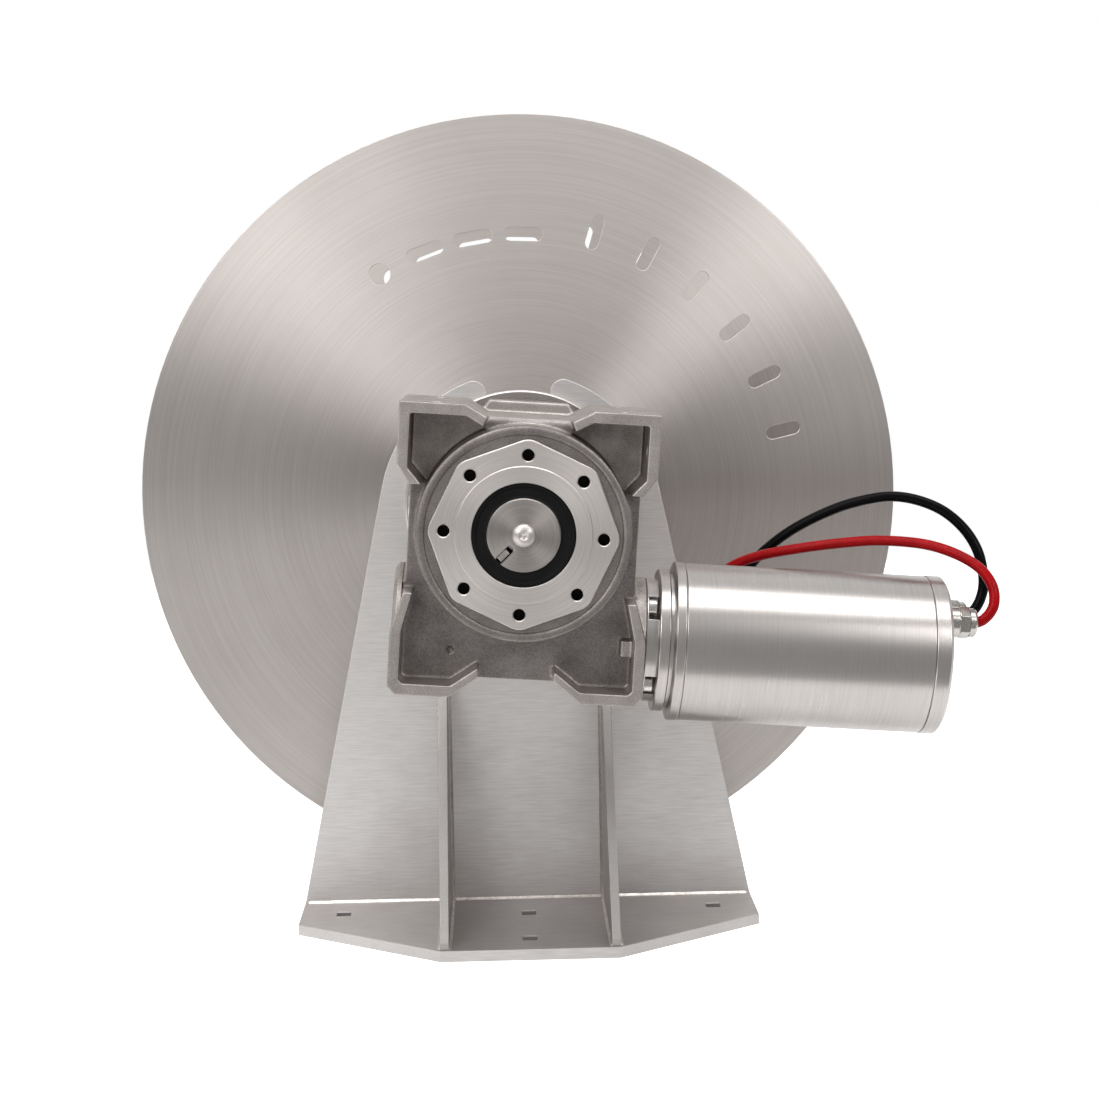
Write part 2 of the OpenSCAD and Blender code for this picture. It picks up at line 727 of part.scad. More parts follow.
// Output flange: base ring, waisted neck and a wide rim against the side plate
module output_flange() {
  v1 = gear_reach;
  bore = seal_r + 3;
  neck = 53;
  color(bright) gear_frame() difference() {
    turned_y([[bore, face_v], [octagon_r, face_v], [octagon_r, face_v + 9],
      [octagon_r - 1, face_v + 10], [neck + 1, face_v + 10], [neck, face_v + 12],
      [neck, v1 - flange_t - 28], [neck + 6, v1 - flange_t - 14], [neck + 18, v1 - flange_t],
      [flange_r - 1.5, v1 - flange_t], [flange_r, v1 - flange_t + 1.5], [flange_r, v1], [bore, v1]]);
    ring_xz(8, face_bolt_circle, 0) along_y(flange_screw_r + bolt_gap, face_v - 1, face_v + 11);
    rotate([0, -gear_roll, 0]) ring_xz(4, flange_bolt_circle, 45) {
      along_y(flange_bolt_r + bolt_gap, v1 - flange_t - 20, v1 + 1);
      along_y(13, v1 - flange_t - 30, v1 - flange_t);
    }
  }
}
module flange_screws() {
  color(bright) gear_frame() ring_xz(8, face_bolt_circle, 0) translate([0, face_v + 10, 0])
    mirror([0, 1, 0]) hex_bolt(flange_screw_r, 26, 9, 6.4, 0.8);
}
module plate_bolts() {
  y = -plate_out - flange_t;
  color(bright) translate([0, 0, axis_z]) ring_xz(4, flange_bolt_circle, 45) {
    translate([0, y, 0]) hex_bolt(flange_bolt_r, flange_t + plate_t + 12, 10.4, 7.5, 2);
    nut_y(-plate_in, 10, 10.4, flange_bolt_r);
  }
}

// Oil seals, with a running gap of a hair on the hollow shaft
module front_seal() { color(black) gear_frame() mirror([0, 1, 0]) oil_seal(); }
module oil_seal() {
  v = seal_v;
  out = seal_v + seal_w;
  lip_r = hollow_r + 0.05;
  turned_y([[lip_r, out - 3], [lip_r + 2.5, out - 3], [lip_r + 2.5, v], [seal_r, v], [seal_r, out],
    [seal_r - 3, out], [seal_r - 4, out - 1], [lip_r + 2, out - 1], [lip_r, out]]);
}
module rear_seal() { color(black) gear_frame() oil_seal(); }

// Ball bearings of the hollow shaft
out_inner_r = hollow_r + 6;
out_ball_r = (bearing_r - 4.5 - out_inner_r) / 2;
module output_bearing_outers() {
  color(bright) gear_frame() for (s = [0, 1]) mirror([0, s, 0])
    turned_y([[bearing_r - 4.5, bearing_v], [bearing_r, bearing_v],
      [bearing_r, bearing_v + bearing_w], [bearing_r - 4.5, bearing_v + bearing_w]]);
}
module output_bearing_inners() {
  color(bright) gear_frame() for (s = [0, 1]) mirror([0, s, 0]) {
    turned_y([[hollow_r + seat, bearing_v], [out_inner_r, bearing_v],
      [out_inner_r, bearing_v + bearing_w], [hollow_r + seat, bearing_v + bearing_w]]);
    balls_y(12, out_inner_r + out_ball_r, out_ball_r - 0.15, bearing_v + bearing_w / 2);
  }
}

// Hollow output shaft with the hub that carries the wheel rim
hub_r = 54;
module hollow_shaft() {
  color(bright) gear_frame() difference() {
    turned_y([[shaft_r + seat, -hollow_v], [hollow_r, -hollow_v], [hollow_r, -bearing_v],
      [hollow_r + 6, -bearing_v + 0.3], [hollow_r + 6, -wheel_w / 2], [hub_r, -wheel_w / 2],
      [hub_r, wheel_w / 2], [hollow_r + 6, wheel_w / 2], [hollow_r + 6, bearing_v - 0.3],
      [hollow_r, bearing_v], [hollow_r, hollow_v], [shaft_r + seat, hollow_v]]);
    rotate([0, -gear_roll, 0]) translate([-key_w / 2 - seat, -hollow_v - 1, 0])
      cube([key_w + 2 * seat, 2 * hollow_v + 2, shaft_r + key_h - key_deep + seat]);
    rotate([0, -tab_angle, 0]) translate([tab_r0 - seat, -hollow_v - 1, -tab_w / 2 - seat])
      cube([hollow_r, 1 + tab_depth + seat, tab_w + 2 * seat]);
    rotate([0, -tab_angle, 0])
      along_y(tab_slot_w / 2, -hollow_v - 1, -hollow_v + tab_depth + 1, tab_hole_r0, tab_gap / 2);
  }
}

// Worm wheel rim: slanted spaces cut for the worm's thread
module tooth_space() {
  mid = thread_half_t + flank_gap + 0.1;
  flare = 0.43;
  above = module_m + 1.2;
  below = 1.25 * module_m;
  rotate([0, 0, -lead_angle]) sheet_xz(-wheel_w, wheel_w) polygon([
    [-mid - flare * above, -pitch_r - above], [mid + flare * above, -pitch_r - above],
    [mid - 0.3 * below, -pitch_r + below], [-mid + 0.3 * below, -pitch_r + below]]);
}
module worm_wheel_rim() {
  color(bronze) gear_frame() difference() {
    turned_y([[hub_r + seat, -wheel_w / 2], [wheel_r, -wheel_w / 2],
      [wheel_r, wheel_w / 2], [hub_r + seat, wheel_w / 2]]);
    for (i = [0 : wheel_teeth - 1]) rotate([0, i * 360 / wheel_teeth, 0]) tooth_space();
  }
}

// Worm thread: one polyhedron swept along the helix
thread_steps = 20;
module worm_thread() {
  turns = 2 * thread_half / worm_lead;
  n = round(turns * thread_steps);
  root = worm_root_r - 0.4;
  root_half = thread_half_t + 0.364 * (worm_pitch_r - root);
  tip_half = thread_half_t - 0.364 * module_m;
  profile = [[root, -root_half], [worm_tip_r, -tip_half], [worm_tip_r, tip_half], [root, root_half]];
  points = [for (i = [0 : n]) let (a = (i / n - 0.5) * turns * 360, u = a / 360 * worm_lead)
    for (p = profile) [u + p.y, p.x * sin(a), p.x * cos(a)]];
  sides = [for (i = [0 : n - 1], k = [0 : 3]) let (j = (k + 1) % 4)
    each [[4 * i + k, 4 * (i + 1) + j, 4 * i + j], [4 * i + k, 4 * (i + 1) + k, 4 * (i + 1) + j]]];
  polyhedron(points, concat(sides, [[0, 1, 2, 3]], [[4 * n + 3, 4 * n + 2, 4 * n + 1, 4 * n]]));
}
worm_seat_r = 12.5;
worm_bearing_u = 64;
worm_bearing_w = 15;
input_bore_r = 9.5;
input_key_w = 6;
module worm_shaft() {
  color(bright) worm_frame() {
    difference() {
      turned_x([[0, -worm_bearing_u - worm_bearing_w], [worm_seat_r, -worm_bearing_u - worm_bearing_w],
        [worm_seat_r, -worm_bearing_u], [worm_seat_r + 2, -worm_bearing_u + 0.3],
        [worm_seat_r + 2, -thread_half - 16], [worm_root_r, -thread_half - 12],
        [worm_root_r, thread_half + 12], [worm_seat_r + 2, thread_half + 16],
        [worm_seat_r + 2, worm_bearing_u - 0.3], [worm_seat_r, worm_bearing_u],
        [worm_seat_r, boss_u - 4], [0, boss_u - 4]]);
      along_x(input_bore_r, worm_bearing_u - 6, boss_u);
      translate([worm_bearing_u - 6, -input_key_w / 2 - seat, 0])
        cube([60, input_key_w + 2 * seat, input_bore_r + 1.8]);
    }
    worm_thread();
  }
}
worm_inner_r = worm_seat_r + 4.5;
worm_ball_r = (worm_bore_r - 4.5 - worm_inner_r) / 2;
module worm_bearing_outers() {
  color(bright) worm_frame() for (s = [0, 1]) mirror([s, 0, 0])
    turned_x([[worm_bore_r - 4.5, worm_bearing_u], [worm_bore_r, worm_bearing_u],
      [worm_bore_r, worm_bearing_u + worm_bearing_w],
      [worm_bore_r - 4.5, worm_bearing_u + worm_bearing_w]]);
}
module worm_bearing_inners() {
  color(bright) worm_frame() for (s = [0, 1]) mirror([s, 0, 0]) {
    turned_x([[worm_seat_r + seat, worm_bearing_u], [worm_inner_r, worm_bearing_u],
      [worm_inner_r, worm_bearing_u + worm_bearing_w],
      [worm_seat_r + seat, worm_bearing_u + worm_bearing_w]]);
    balls_x(9, worm_inner_r + worm_ball_r, worm_ball_r - 0.15, worm_bearing_u + worm_bearing_w / 2);
  }
}
module worm_end_cap() {
  spigot_r = worm_bore_r - seat;
  spigot_u = -worm_bearing_u - worm_bearing_w - 0.3;
  color(cast) worm_frame() turned_x([[0, cap_u - cap_t], [end_cap_r - 4, cap_u - cap_t],
    [end_cap_r, cap_u - cap_t + 3], [end_cap_r, cap_u], [spigot_r, cap_u], [spigot_r, spigot_u],
    [spigot_r - 5, spigot_u], [spigot_r - 5, cap_u + 4], [0, cap_u + 4]]);
}

// Oil plugs with low heads: the level plug on the left flank and the drain plug at the bottom
level_v = 18;
level_w = 10;
module oil_plugs() {
  color(bright) gear_frame() {
    translate([-side_u, level_v, level_w]) rotate([0, -90, 0]) plug();
    translate([0, 0, -housing_bottom]) rotate([180, 0, 0]) plug();
  }
}
module plug() {
  difference() {
    union() {
      cylinder(h = 1.4, r = 10);
      translate([0, 0, 1.4]) cylinder(h = 0.9, r1 = 10, r2 = 9.1);
    }
    translate([0, 0, 0.7]) cylinder(h = 5, r = 4, $fn = 6);
  }
}

// Motor adapter: neck with four screw pockets, then the round flange
adapter_screw_circle = 46;
adapter_screw_r = 4;
module motor_adapter() {
  u0 = neck_u;
  u1 = neck_u + neck_len;
  c = adapter_screw_circle / sqrt(2);
  color(stainless) worm_frame() difference() {
    turned_x([[30, u0], [neck_r, u0], [neck_r, u1], [adapter_r - 1, u1], [adapter_r, u1 + 1],
      [adapter_r, motor_u - 4], [adapter_r - 3, motor_u - 3.5], [adapter_r - 3, motor_u], [30, motor_u]]);
    ring_vw(4, adapter_screw_circle, 45) along_x(adapter_screw_r + bolt_gap, u0 - 1, u0 + 3);
    for (v = [-1, 1], w = [-1, 1])
      translate([u0 + 1.5, v > 0 ? c - 9 : -c - 29, w * c - 8.5]) cube([neck_len - 1.5, 38, 17]);
  }
}
module adapter_screws() {
  color(bright) worm_frame() ring_vw(4, adapter_screw_circle, 45)
    translate([neck_u + 1.5, 0, 0]) socket_screw(adapter_screw_r, screw_grip + 0.5, 6.4, 6.5);
}

// Motor: front ring, can with magnets, rear cap
motor_seat_r = 10;
motor_ring_r = 23.5;
motor_bearing_w = 14;
front_bearing_u = motor_u + 1;
rear_bearing_u = rear_u - 8;
module motor_front_ring() {
  color(stainless) worm_frame() turned_x([[motor_seat_r + 2.5, motor_u], [ring_r - 2, motor_u],
    [ring_r, motor_u + 1], [ring_r, can_u - 0.8], [ring_r - 0.8, can_u],
    [can_r - can_wall - seat, can_u], [can_r - can_wall - seat, can_u + 8],
    [motor_ring_r + 4, can_u + 8], [motor_ring_r + 4, front_bearing_u + motor_bearing_w],
    [motor_ring_r + seat, front_bearing_u + motor_bearing_w], [motor_ring_r + seat, front_bearing_u],
    [motor_seat_r + 2.5, front_bearing_u]]);
}
module motor_can() {
  color(bright) worm_frame() turned_x([[can_r - can_wall, can_u], [can_r - 0.6, can_u],
    [can_r, can_u + 0.6], [can_r, rear_u - 0.6], [can_r - 0.6, rear_u], [can_r - can_wall, rear_u]]);
}
gland_thread_r = 9;
module motor_rear_cap() {
  spigot_r = can_r - can_wall - seat;
  bore_end = rear_bearing_u + motor_bearing_w + 1;
  color(stainless) worm_frame() difference() {
    turned_x([[0, motor_end_u], [ring_r - 3, motor_end_u], [ring_r, motor_end_u - 2.5],
      [ring_r, rear_u + 0.8],
      [ring_r - 0.8, rear_u], [spigot_r, rear_u], [spigot_r, rear_u - 8], [spigot_r - 6, rear_u - 8],
      [spigot_r - 6, rear_u + 6], [motor_ring_r + 4, rear_u + 6], [motor_ring_r + 4, rear_bearing_u],
      [motor_ring_r + seat, rear_bearing_u], [motor_ring_r + seat, bore_end], [0, bore_end]]);
    for (v = [-gland_v, gland_v])
      along_x(gland_thread_r + seat, rear_u, motor_end_u + 1, v, gland_w);
  }
}
// Laminated core of the armature and what lies round it, placed along the can
core_u = can_u + 30;
core_end_u = rear_u - 82;
magnet_t = 9;
magnet_spread = 1.5;
magnet_over = 10;
module motor_magnets() {
  r = can_r - can_wall;
  u0 = core_u - magnet_over;
  u1 = core_end_u + magnet_over;
  color(black) worm_frame() for (i = [0 : 3]) rotate([i * 90, 0, 0]) intersection() {
    turned_x([[r - magnet_t, u0], [r - seat, u0], [r - seat, u1], [r - magnet_t, u1]]);
    sheet_yz(u0, u1) polygon([[0, 0], [2 * r, -magnet_spread * r], [2 * r, magnet_spread * r]]);
  }
}
armature_r = can_r - can_wall - magnet_t - 1.2;
motor_shaft_r = input_bore_r - seat;
winding_len = 8;
winding_r = armature_r - 14;
core_slots = 16;
module armature() {
  boss_r = motor_seat_r + 3;
  front = front_bearing_u + motor_bearing_w;
  color(bronze) worm_frame() difference() {
    turned_x([[0, worm_bearing_u + 4], [motor_shaft_r, worm_bearing_u + 4],
      [motor_shaft_r, front_bearing_u], [motor_seat_r, front_bearing_u], [motor_seat_r, front],
      [boss_r, front + 0.3], [boss_r, core_u - winding_len], [winding_r, core_u - winding_len],
      [armature_r - 4, core_u - winding_len / 2], [armature_r, core_u], [armature_r, core_end_u],
      [armature_r - 4, core_end_u + winding_len / 2], [winding_r, core_end_u + winding_len],
      [boss_r, core_end_u + winding_len], [boss_r, rear_bearing_u - 0.3],
      [motor_seat_r, rear_bearing_u], [motor_seat_r, rear_bearing_u + motor_bearing_w],
      [0, rear_bearing_u + motor_bearing_w]]);
    ring_vw(core_slots, armature_r - 4) along_x(2.5, core_u - 1, core_end_u + 1);
  }
}
commutator_u = core_end_u + winding_len + 14;
commutator_r = 24;
segments = 24;
module commutator() {
  u = commutator_u;
  bore = motor_seat_r + 3 + seat;
  color(bronze) worm_frame() difference() {
    turned_x([[bore, u], [commutator_r + 4, u], [commutator_r + 4, u + 3], [commutator_r, u + 4],
      [commutator_r, u + 26], [bore, u + 26]]);
    ring_vw(segments, commutator_r + 1) translate([u + 2, -0.5, -2.5]) cube([30, 1, 5]);
  }
}
module motor_brushes() {
  from_r = commutator_r + run_gap;
  to_r = can_r - can_wall - run_gap;
  color(black) worm_frame() for (i = [0 : 3]) rotate([45 + i * 90, 0, 0])
    translate([commutator_u + 8, -5, from_r]) cube([12, 10, to_r - from_r]);
}
motor_inner_r = motor_seat_r + 4;
motor_ball_r = (motor_ring_r - 4 - motor_inner_r) / 2;
module motor_bearing_outers() {
  color(bright) worm_frame() for (u = [front_bearing_u, rear_bearing_u])
    turned_x([[motor_ring_r - 4, u], [motor_ring_r, u], [motor_ring_r, u + motor_bearing_w],
      [motor_ring_r - 4, u + motor_bearing_w]]);
}
module motor_bearing_inners() {
  color(bright) worm_frame() for (u = [front_bearing_u, rear_bearing_u]) {
    turned_x([[motor_seat_r + seat, u], [motor_inner_r, u], [motor_inner_r, u + motor_bearing_w],
      [motor_seat_r + seat, u + motor_bearing_w]]);
    balls_x(8, motor_inner_r + motor_ball_r, motor_ball_r - 0.15, u + motor_bearing_w / 2);
  }
}

// Cable glands on the rear cap
gland_u = motor_end_u;
gland_body_len = 10;
gland_nut_len = 8;
module at_glands() {
  worm_frame() for (v = [-gland_v, gland_v]) translate([gland_u, v, gland_w]) children();
}
module gland_bodies() {
  color(bright) at_glands() difference() {
    union() {
      rotate([0, 90, 0]) cylinder(h = gland_body_len, r = gland_hex / 2, $fn = 6);
      along_x(gland_thread_r, -9, 0);
    }
    along_x(lead_r + 0.6, -10, gland_body_len + 1);
  }
}
module gland_nuts() {
  a = gland_body_len;
  r = gland_hex / 2;
  bore = lead_r + 0.3;
  color(bright) at_glands() turned_x([[bore, a], [r - 1.6, a], [r - 1.6, a + 3], [r - 3, a + 5.5],
    [r - 5.5, a + gland_nut_len], [bore, a + gland_nut_len]]);
}

// Motor leads: smooth curves from the glands, over the can, and down behind it
red_route = [[366, -435, 302], [379, -435, 301], [388, -435, 306], [394, -434, 316],
  [394, -430, 330], [387, -423, 343], [374, -414, 353], [355, -403, 361], [334, -393, 365],
  [304, -381, 366], [272, -371, 363], [240, -360, 358], [208, -348, 351], [184, -341, 341],
  [168, -337, 325], [160, -336, 303], [158, -336, 278], [158, -336, 252]];
black_route = [[366, -395, 302], [379, -395, 301], [388, -395, 308], [394, -393, 321],
  [395, -391, 336], [391, -387, 356], [381, -381, 374], [365, -375, 389], [346, -368, 398],
  [325, -362, 402], [304, -357, 400], [276, -350, 392], [243, -343, 376], [218, -338, 358],
  [200, -334, 339], [188, -332, 316], [183, -332, 290], [182, -332, 252]];
red_end = red_route[len(red_route) - 1];
black_end = black_route[len(black_route) - 1];
lead_sides = 10;
lead_step = 4;
function curve(p, i, t) =
  let (a = p[max(i - 1, 0)], b = p[i], c = p[i + 1], d = p[min(i + 2, len(p) - 1)])
  0.5 * (2 * b + (c - a) * t + (2 * a - 5 * b + 4 * c - d) * t * t + (3 * b - 3 * c + d - a) * t * t * t);
function unit(v) = v / norm(v);
module lead_tube(route) {
  path = concat([for (i = [0 : len(route) - 2], k = [0 : lead_step - 1])
    curve(route, i, k / lead_step)], [route[len(route) - 1]]);
  n = len(path);
  points = [for (i = [0 : n - 1])
    let (t = unit(path[min(i + 1, n - 1)] - path[max(i - 1, 0)]),
      s = unit(cross(t, [0.1, 1, 0.2])), q = cross(t, s))
    for (k = [0 : lead_sides - 1]) let (a = k * 360 / lead_sides)
      path[i] + lead_r * (cos(a) * s + sin(a) * q)];
  sides = [for (i = [0 : n - 2], k = [0 : lead_sides - 1]) let (j = (k + 1) % lead_sides, m = lead_sides)
    each [[m * i + k, m * (i + 1) + j, m * i + j], [m * i + k, m * (i + 1) + k, m * (i + 1) + j]]];
  polyhedron(points, concat(sides, [[for (k = [0 : lead_sides - 1]) k]],
    [[for (k = [lead_sides - 1 : -1 : 0]) lead_sides * (n - 1) + k]]));
}
module red_lead() { color(red) lead_tube(red_route); }
module black_lead() { color(black) lead_tube(black_route); }

// Crimped ring terminals on the ends of the leads, and the tie that holds both
barrel_len = 18;
eye_drop = 34;
eye_r = 4.2;
terminal_r = 7;
module terminal(end) {
  translate(end - [0, 0, 0.3]) difference() {
    union() {
      translate([0, 0, -barrel_len]) cylinder(h = barrel_len, r = 5);
      translate([-1.5, -terminal_r, -eye_drop]) cube([3, 2 * terminal_r, eye_drop - barrel_len + 4]);
      along_x(terminal_r, -1.5, 1.5, 0, -eye_drop);
    }
    along_x(eye_r, -3, 3, 0, -eye_drop);
  }
}
module red_terminal() { color(bright) terminal(red_end); }
module black_terminal() { color(bright) terminal(black_end); }
module tie_outline(r) {
  hull() for (p = [red_end, black_end]) translate([p.x, p.y]) circle(r, $fn = 32);
}
module lead_tie() {
  color(black) translate([0, 0, red_end.z + 14]) linear_extrude(height = 5) difference() {
    tie_outline(lead_r + 1.8);
    tie_outline(lead_r + 0.4);
  }
}

near_foot_plate();
near_side_plate();
near_gussets();
far_foot_plate();
far_side_plate();
far_gussets();
tie_tubes();
far_bearing_housing();
far_bearing_outer();
far_bearing_inner();
far_bearing_bolts();
far_bearing_cap();
drum_shaft();
drum_core();
near_disc();
far_disc();
near_hub();
far_hub();
hub_bolts();
shaft_key();
retaining_disc();
retaining_screw();
lock_tab();
gear_housing();
gear_front_cover();
cover_screws();
output_flange();
flange_screws();
plate_bolts();
front_seal();
rear_seal();
output_bearing_outers();
output_bearing_inners();
hollow_shaft();
worm_wheel_rim();
worm_shaft();
worm_bearing_outers();
worm_bearing_inners();
worm_end_cap();
oil_plugs();
motor_adapter();
adapter_screws();
motor_front_ring();
motor_can();
motor_rear_cap();
motor_magnets();
armature();
commutator();
motor_brushes();
motor_bearing_outers();
motor_bearing_inners();
gland_bodies();
gland_nuts();
red_lead();
black_lead();
red_terminal();
black_terminal();
lead_tie();
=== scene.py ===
# Drum anchor winch, dressed for the photograph's view. Metres, +Z up, the gear unit on the -Y side.
import json
import math
import bmesh
import bpy
from mathutils import Matrix, Vector, noise

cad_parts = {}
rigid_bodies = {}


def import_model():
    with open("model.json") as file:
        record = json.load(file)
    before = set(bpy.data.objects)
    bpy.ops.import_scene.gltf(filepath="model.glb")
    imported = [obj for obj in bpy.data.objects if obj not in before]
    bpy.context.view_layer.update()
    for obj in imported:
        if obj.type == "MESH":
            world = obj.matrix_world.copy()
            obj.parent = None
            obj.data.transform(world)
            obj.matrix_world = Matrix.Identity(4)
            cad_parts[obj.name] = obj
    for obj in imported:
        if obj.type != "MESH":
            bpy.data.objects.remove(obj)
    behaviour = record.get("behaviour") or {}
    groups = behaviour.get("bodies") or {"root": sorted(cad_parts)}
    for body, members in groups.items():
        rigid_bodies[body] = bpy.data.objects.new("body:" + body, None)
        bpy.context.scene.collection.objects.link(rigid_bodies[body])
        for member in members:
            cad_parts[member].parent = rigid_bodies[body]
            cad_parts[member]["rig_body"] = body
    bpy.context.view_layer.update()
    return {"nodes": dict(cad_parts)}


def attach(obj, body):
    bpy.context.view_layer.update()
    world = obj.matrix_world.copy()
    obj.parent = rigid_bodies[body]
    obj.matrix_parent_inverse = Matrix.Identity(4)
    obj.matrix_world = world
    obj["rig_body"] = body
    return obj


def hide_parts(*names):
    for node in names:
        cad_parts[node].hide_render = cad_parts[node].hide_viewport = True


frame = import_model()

scene = bpy.context.scene
scene.view_settings.view_transform = "Standard"
quarter = math.pi / 2

# Where things are, as the part's source places them
place = {"axisHeight": 0.388, "gearY": -0.415, "gearLean": math.radians(4.4), "wormDrop": 0.090,
         "plateOut": 0.220, "footTop": 0.010}
gearFrame = (Matrix.Translation((0, place["gearY"], place["axisHeight"]))
             @ Matrix.Rotation(place["gearLean"], 4, "Y"))
wormFrame = gearFrame @ Matrix.Translation((0, 0, -place["wormDrop"]))


def hexColour(text):
    channels = [int(text[i:i + 2], 16) / 255 for i in (1, 3, 5)]
    linear = [c / 12.92 if c <= 0.04045 else ((c + 0.055) / 1.055) ** 2.4 for c in channels]
    return (*linear, 1.0)


# links: input name or number -> the output that feeds it, or a plain number.
# settings: the node's own, or its inputs by name.
def addNode(tree, kind, links=None, **settings):
    node = tree.nodes.new(kind)
    for name, value in settings.items():
        if hasattr(node, name):
            setattr(node, name, value)
        else:
            node.inputs[name.replace("_", " ")].default_value = value
    for name, source in (links or {}).items():
        if isinstance(source, (int, float)):
            node.inputs[name].default_value = source
        else:
            tree.links.new(source, node.inputs[name])
    return node


def placed(name, mesh, body, materials, matrix=None):
    obj = bpy.data.objects.new(name, mesh)
    scene.collection.objects.link(obj)
    if matrix is not None:
        obj.matrix_world = matrix
    for material in materials:
        obj.data.materials.append(material)
    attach(obj, body)
    return obj


# The camera, solved from the bolt holes, the octagon and the edges of the plates
cameraView = {"at": (-0.01577, -2.12020, 0.56682), "yaw": 1.286, "pitch": 6.660, "roll": -1.040,
              "focalPixels": 2039.54, "framePixels": 1100, "sensor": 36.0, "nearest": 0.05, "furthest": 50}
yaw, pitch, roll = (math.radians(cameraView[k]) for k in ("yaw", "pitch", "roll"))
forward = Vector((math.sin(yaw) * math.cos(pitch), math.cos(yaw) * math.cos(pitch), -math.sin(pitch)))
right = Vector((math.cos(yaw), -math.sin(yaw), 0))
up = right.cross(forward)
cameraRight = math.cos(roll) * right + math.sin(roll) * up
cameraUp = -math.sin(roll) * right + math.cos(roll) * up
cameraTurn = Matrix((cameraRight, cameraUp, -forward)).transposed().to_4x4()
lens = bpy.data.cameras.new("camera")
lens.sensor_width = cameraView["sensor"]
lens.lens = cameraView["focalPixels"] / cameraView["framePixels"] * cameraView["sensor"]
lens.clip_start = cameraView["nearest"]
lens.clip_end = cameraView["furthest"]
camera = bpy.data.objects.new("camera", lens)
scene.collection.objects.link(camera)
camera.matrix_world = Matrix.Translation(cameraView["at"]) @ cameraTurn
scene.camera = camera
print("camera stands")

# What all finishes share: the noise of their grain and clouds, and how far the tone swings either way
grainNoise = {"Detail": 3.0, "Roughness": 0.62}
cloudNoise = {"Detail": 4.0, "Roughness": 0.6}
toneSwing = 0.22


# Sizes of a pattern are in millimetres. Real ground lines, tool marks and blast pits are a few tenths of a
# millimetre apart or less, too fine for the render, so they are drawn as coarse as it takes to show them.
def finish(name, look):
    material = bpy.data.materials.new(name)
    material.use_nodes = True
    tree = material.node_tree
    shader = tree.nodes["Principled BSDF"]
    shader.inputs["Metallic"].default_value = look.get("metallic", 0.0)
    if "ior" in look:
        shader.inputs["IOR"].default_value = look["ior"]
    shader.inputs["Anisotropic"].default_value = look.get("anisotropic", 0.0)
    shader.inputs["Specular IOR Level"].default_value = look.get("specular", 0.5)

    point = addNode(tree, "ShaderNodeTexCoord").outputs["Object"]
    if "centre" in look:  # into the frame of the turned piece, its axis along Z
        point = addNode(tree, "ShaderNodeMapping", {"Vector": point}, vector_type="TEXTURE",
                        Location=look["centre"], Rotation=look["turn"]).outputs[0]
    acrossGrain = 1000 / look["spacing"]
    if look["grain"] == "ring":
        # Lines follow from the distance to the axis and the depth, streaks from the heading
        flatten = addNode(tree, "ShaderNodeCombineXYZ", X=1.0, Y=1.0).outputs[0]
        flat = addNode(tree, "ShaderNodeVectorMath", {0: point, 1: flatten},
                       operation="MULTIPLY").outputs[0]
        radius = addNode(tree, "ShaderNodeVectorMath", {0: flat}, operation="LENGTH").outputs["Value"]
        depth = addNode(tree, "ShaderNodeSeparateXYZ", {0: point}).outputs["Z"]
        reach = addNode(tree, "ShaderNodeMath", {0: radius, 1: depth}, operation="ADD").outputs[0]
        across = addNode(tree, "ShaderNodeMath", {0: reach, 1: acrossGrain},
                         operation="MULTIPLY").outputs[0]
        acrossOnly = addNode(tree, "ShaderNodeCombineXYZ", {"Z": across}).outputs[0]
        heading = addNode(tree, "ShaderNodeVectorMath", {0: flat}, operation="NORMALIZE").outputs[0]
        streaksRound = look["atRadius"] / look["streak"]
        along = addNode(tree, "ShaderNodeVectorMath", {0: heading, "Scale": streaksRound},
                        operation="SCALE").outputs[0]
        lines = addNode(tree, "ShaderNodeVectorMath", {0: along, 1: acrossOnly}, operation="ADD").outputs[0]
    else:  # straight lines along one direction, or an even grit
        steps = [acrossGrain] * 3
        if look["grain"] == "line":
            steps["XYZ".index(look["direction"])] = 1000 / look["streak"]
        lines = addNode(tree, "ShaderNodeMapping", {"Vector": point}, Scale=steps).outputs[0]
    streaks = addNode(tree, "ShaderNodeTexNoise", {"Vector": lines}, Scale=1.0, **grainNoise).outputs[0]
    clouds = addNode(tree, "ShaderNodeTexNoise", {"Vector": point}, Scale=1000 / look["cloud"],
                     **cloudNoise).outputs[0]
    tone = addNode(tree, "ShaderNodeMath", {0: clouds, 1: look["cloudShare"], 2: streaks},
                   operation="MULTIPLY_ADD").outputs[0]
    middle = 0.5 + 0.5 * look["cloudShare"]
    toneRange = {0: tone, 1: middle - toneSwing, 2: middle + toneSwing}

    lightness = addNode(tree, "ShaderNodeMapRange", toneRange).outputs[0]
    colour = addNode(tree, "ShaderNodeMix", {0: lightness}, data_type="RGBA")
    colour.inputs[6].default_value = hexColour(look["dark"])
    colour.inputs[7].default_value = hexColour(look["light"])
    tree.links.new(colour.outputs[2], shader.inputs["Base Color"])
    smoothest, roughest = look["roughness"]
    roughness = addNode(tree, "ShaderNodeMapRange", {**toneRange, 3: roughest, 4: smoothest}).outputs[0]
    tree.links.new(roughness, shader.inputs["Roughness"])
    relief = addNode(tree, "ShaderNodeBump", {"Height": streaks}, Strength=look["bump"],
                     Distance=look["bumpDepth"] / 1000).outputs[0]
    tree.links.new(relief, shader.inputs["Normal"])
    if "tangent" in look:  # the highlight stretches across the grain, a quarter turn from the tangent
        shader.inputs["Anisotropic Rotation"].default_value = 0.25
        tangent = addNode(tree, "ShaderNodeTangent", direction_type="RADIAL",
                          axis=look["tangent"]).outputs[0]
        tree.links.new(tangent, shader.inputs["Tangent"])
    return material


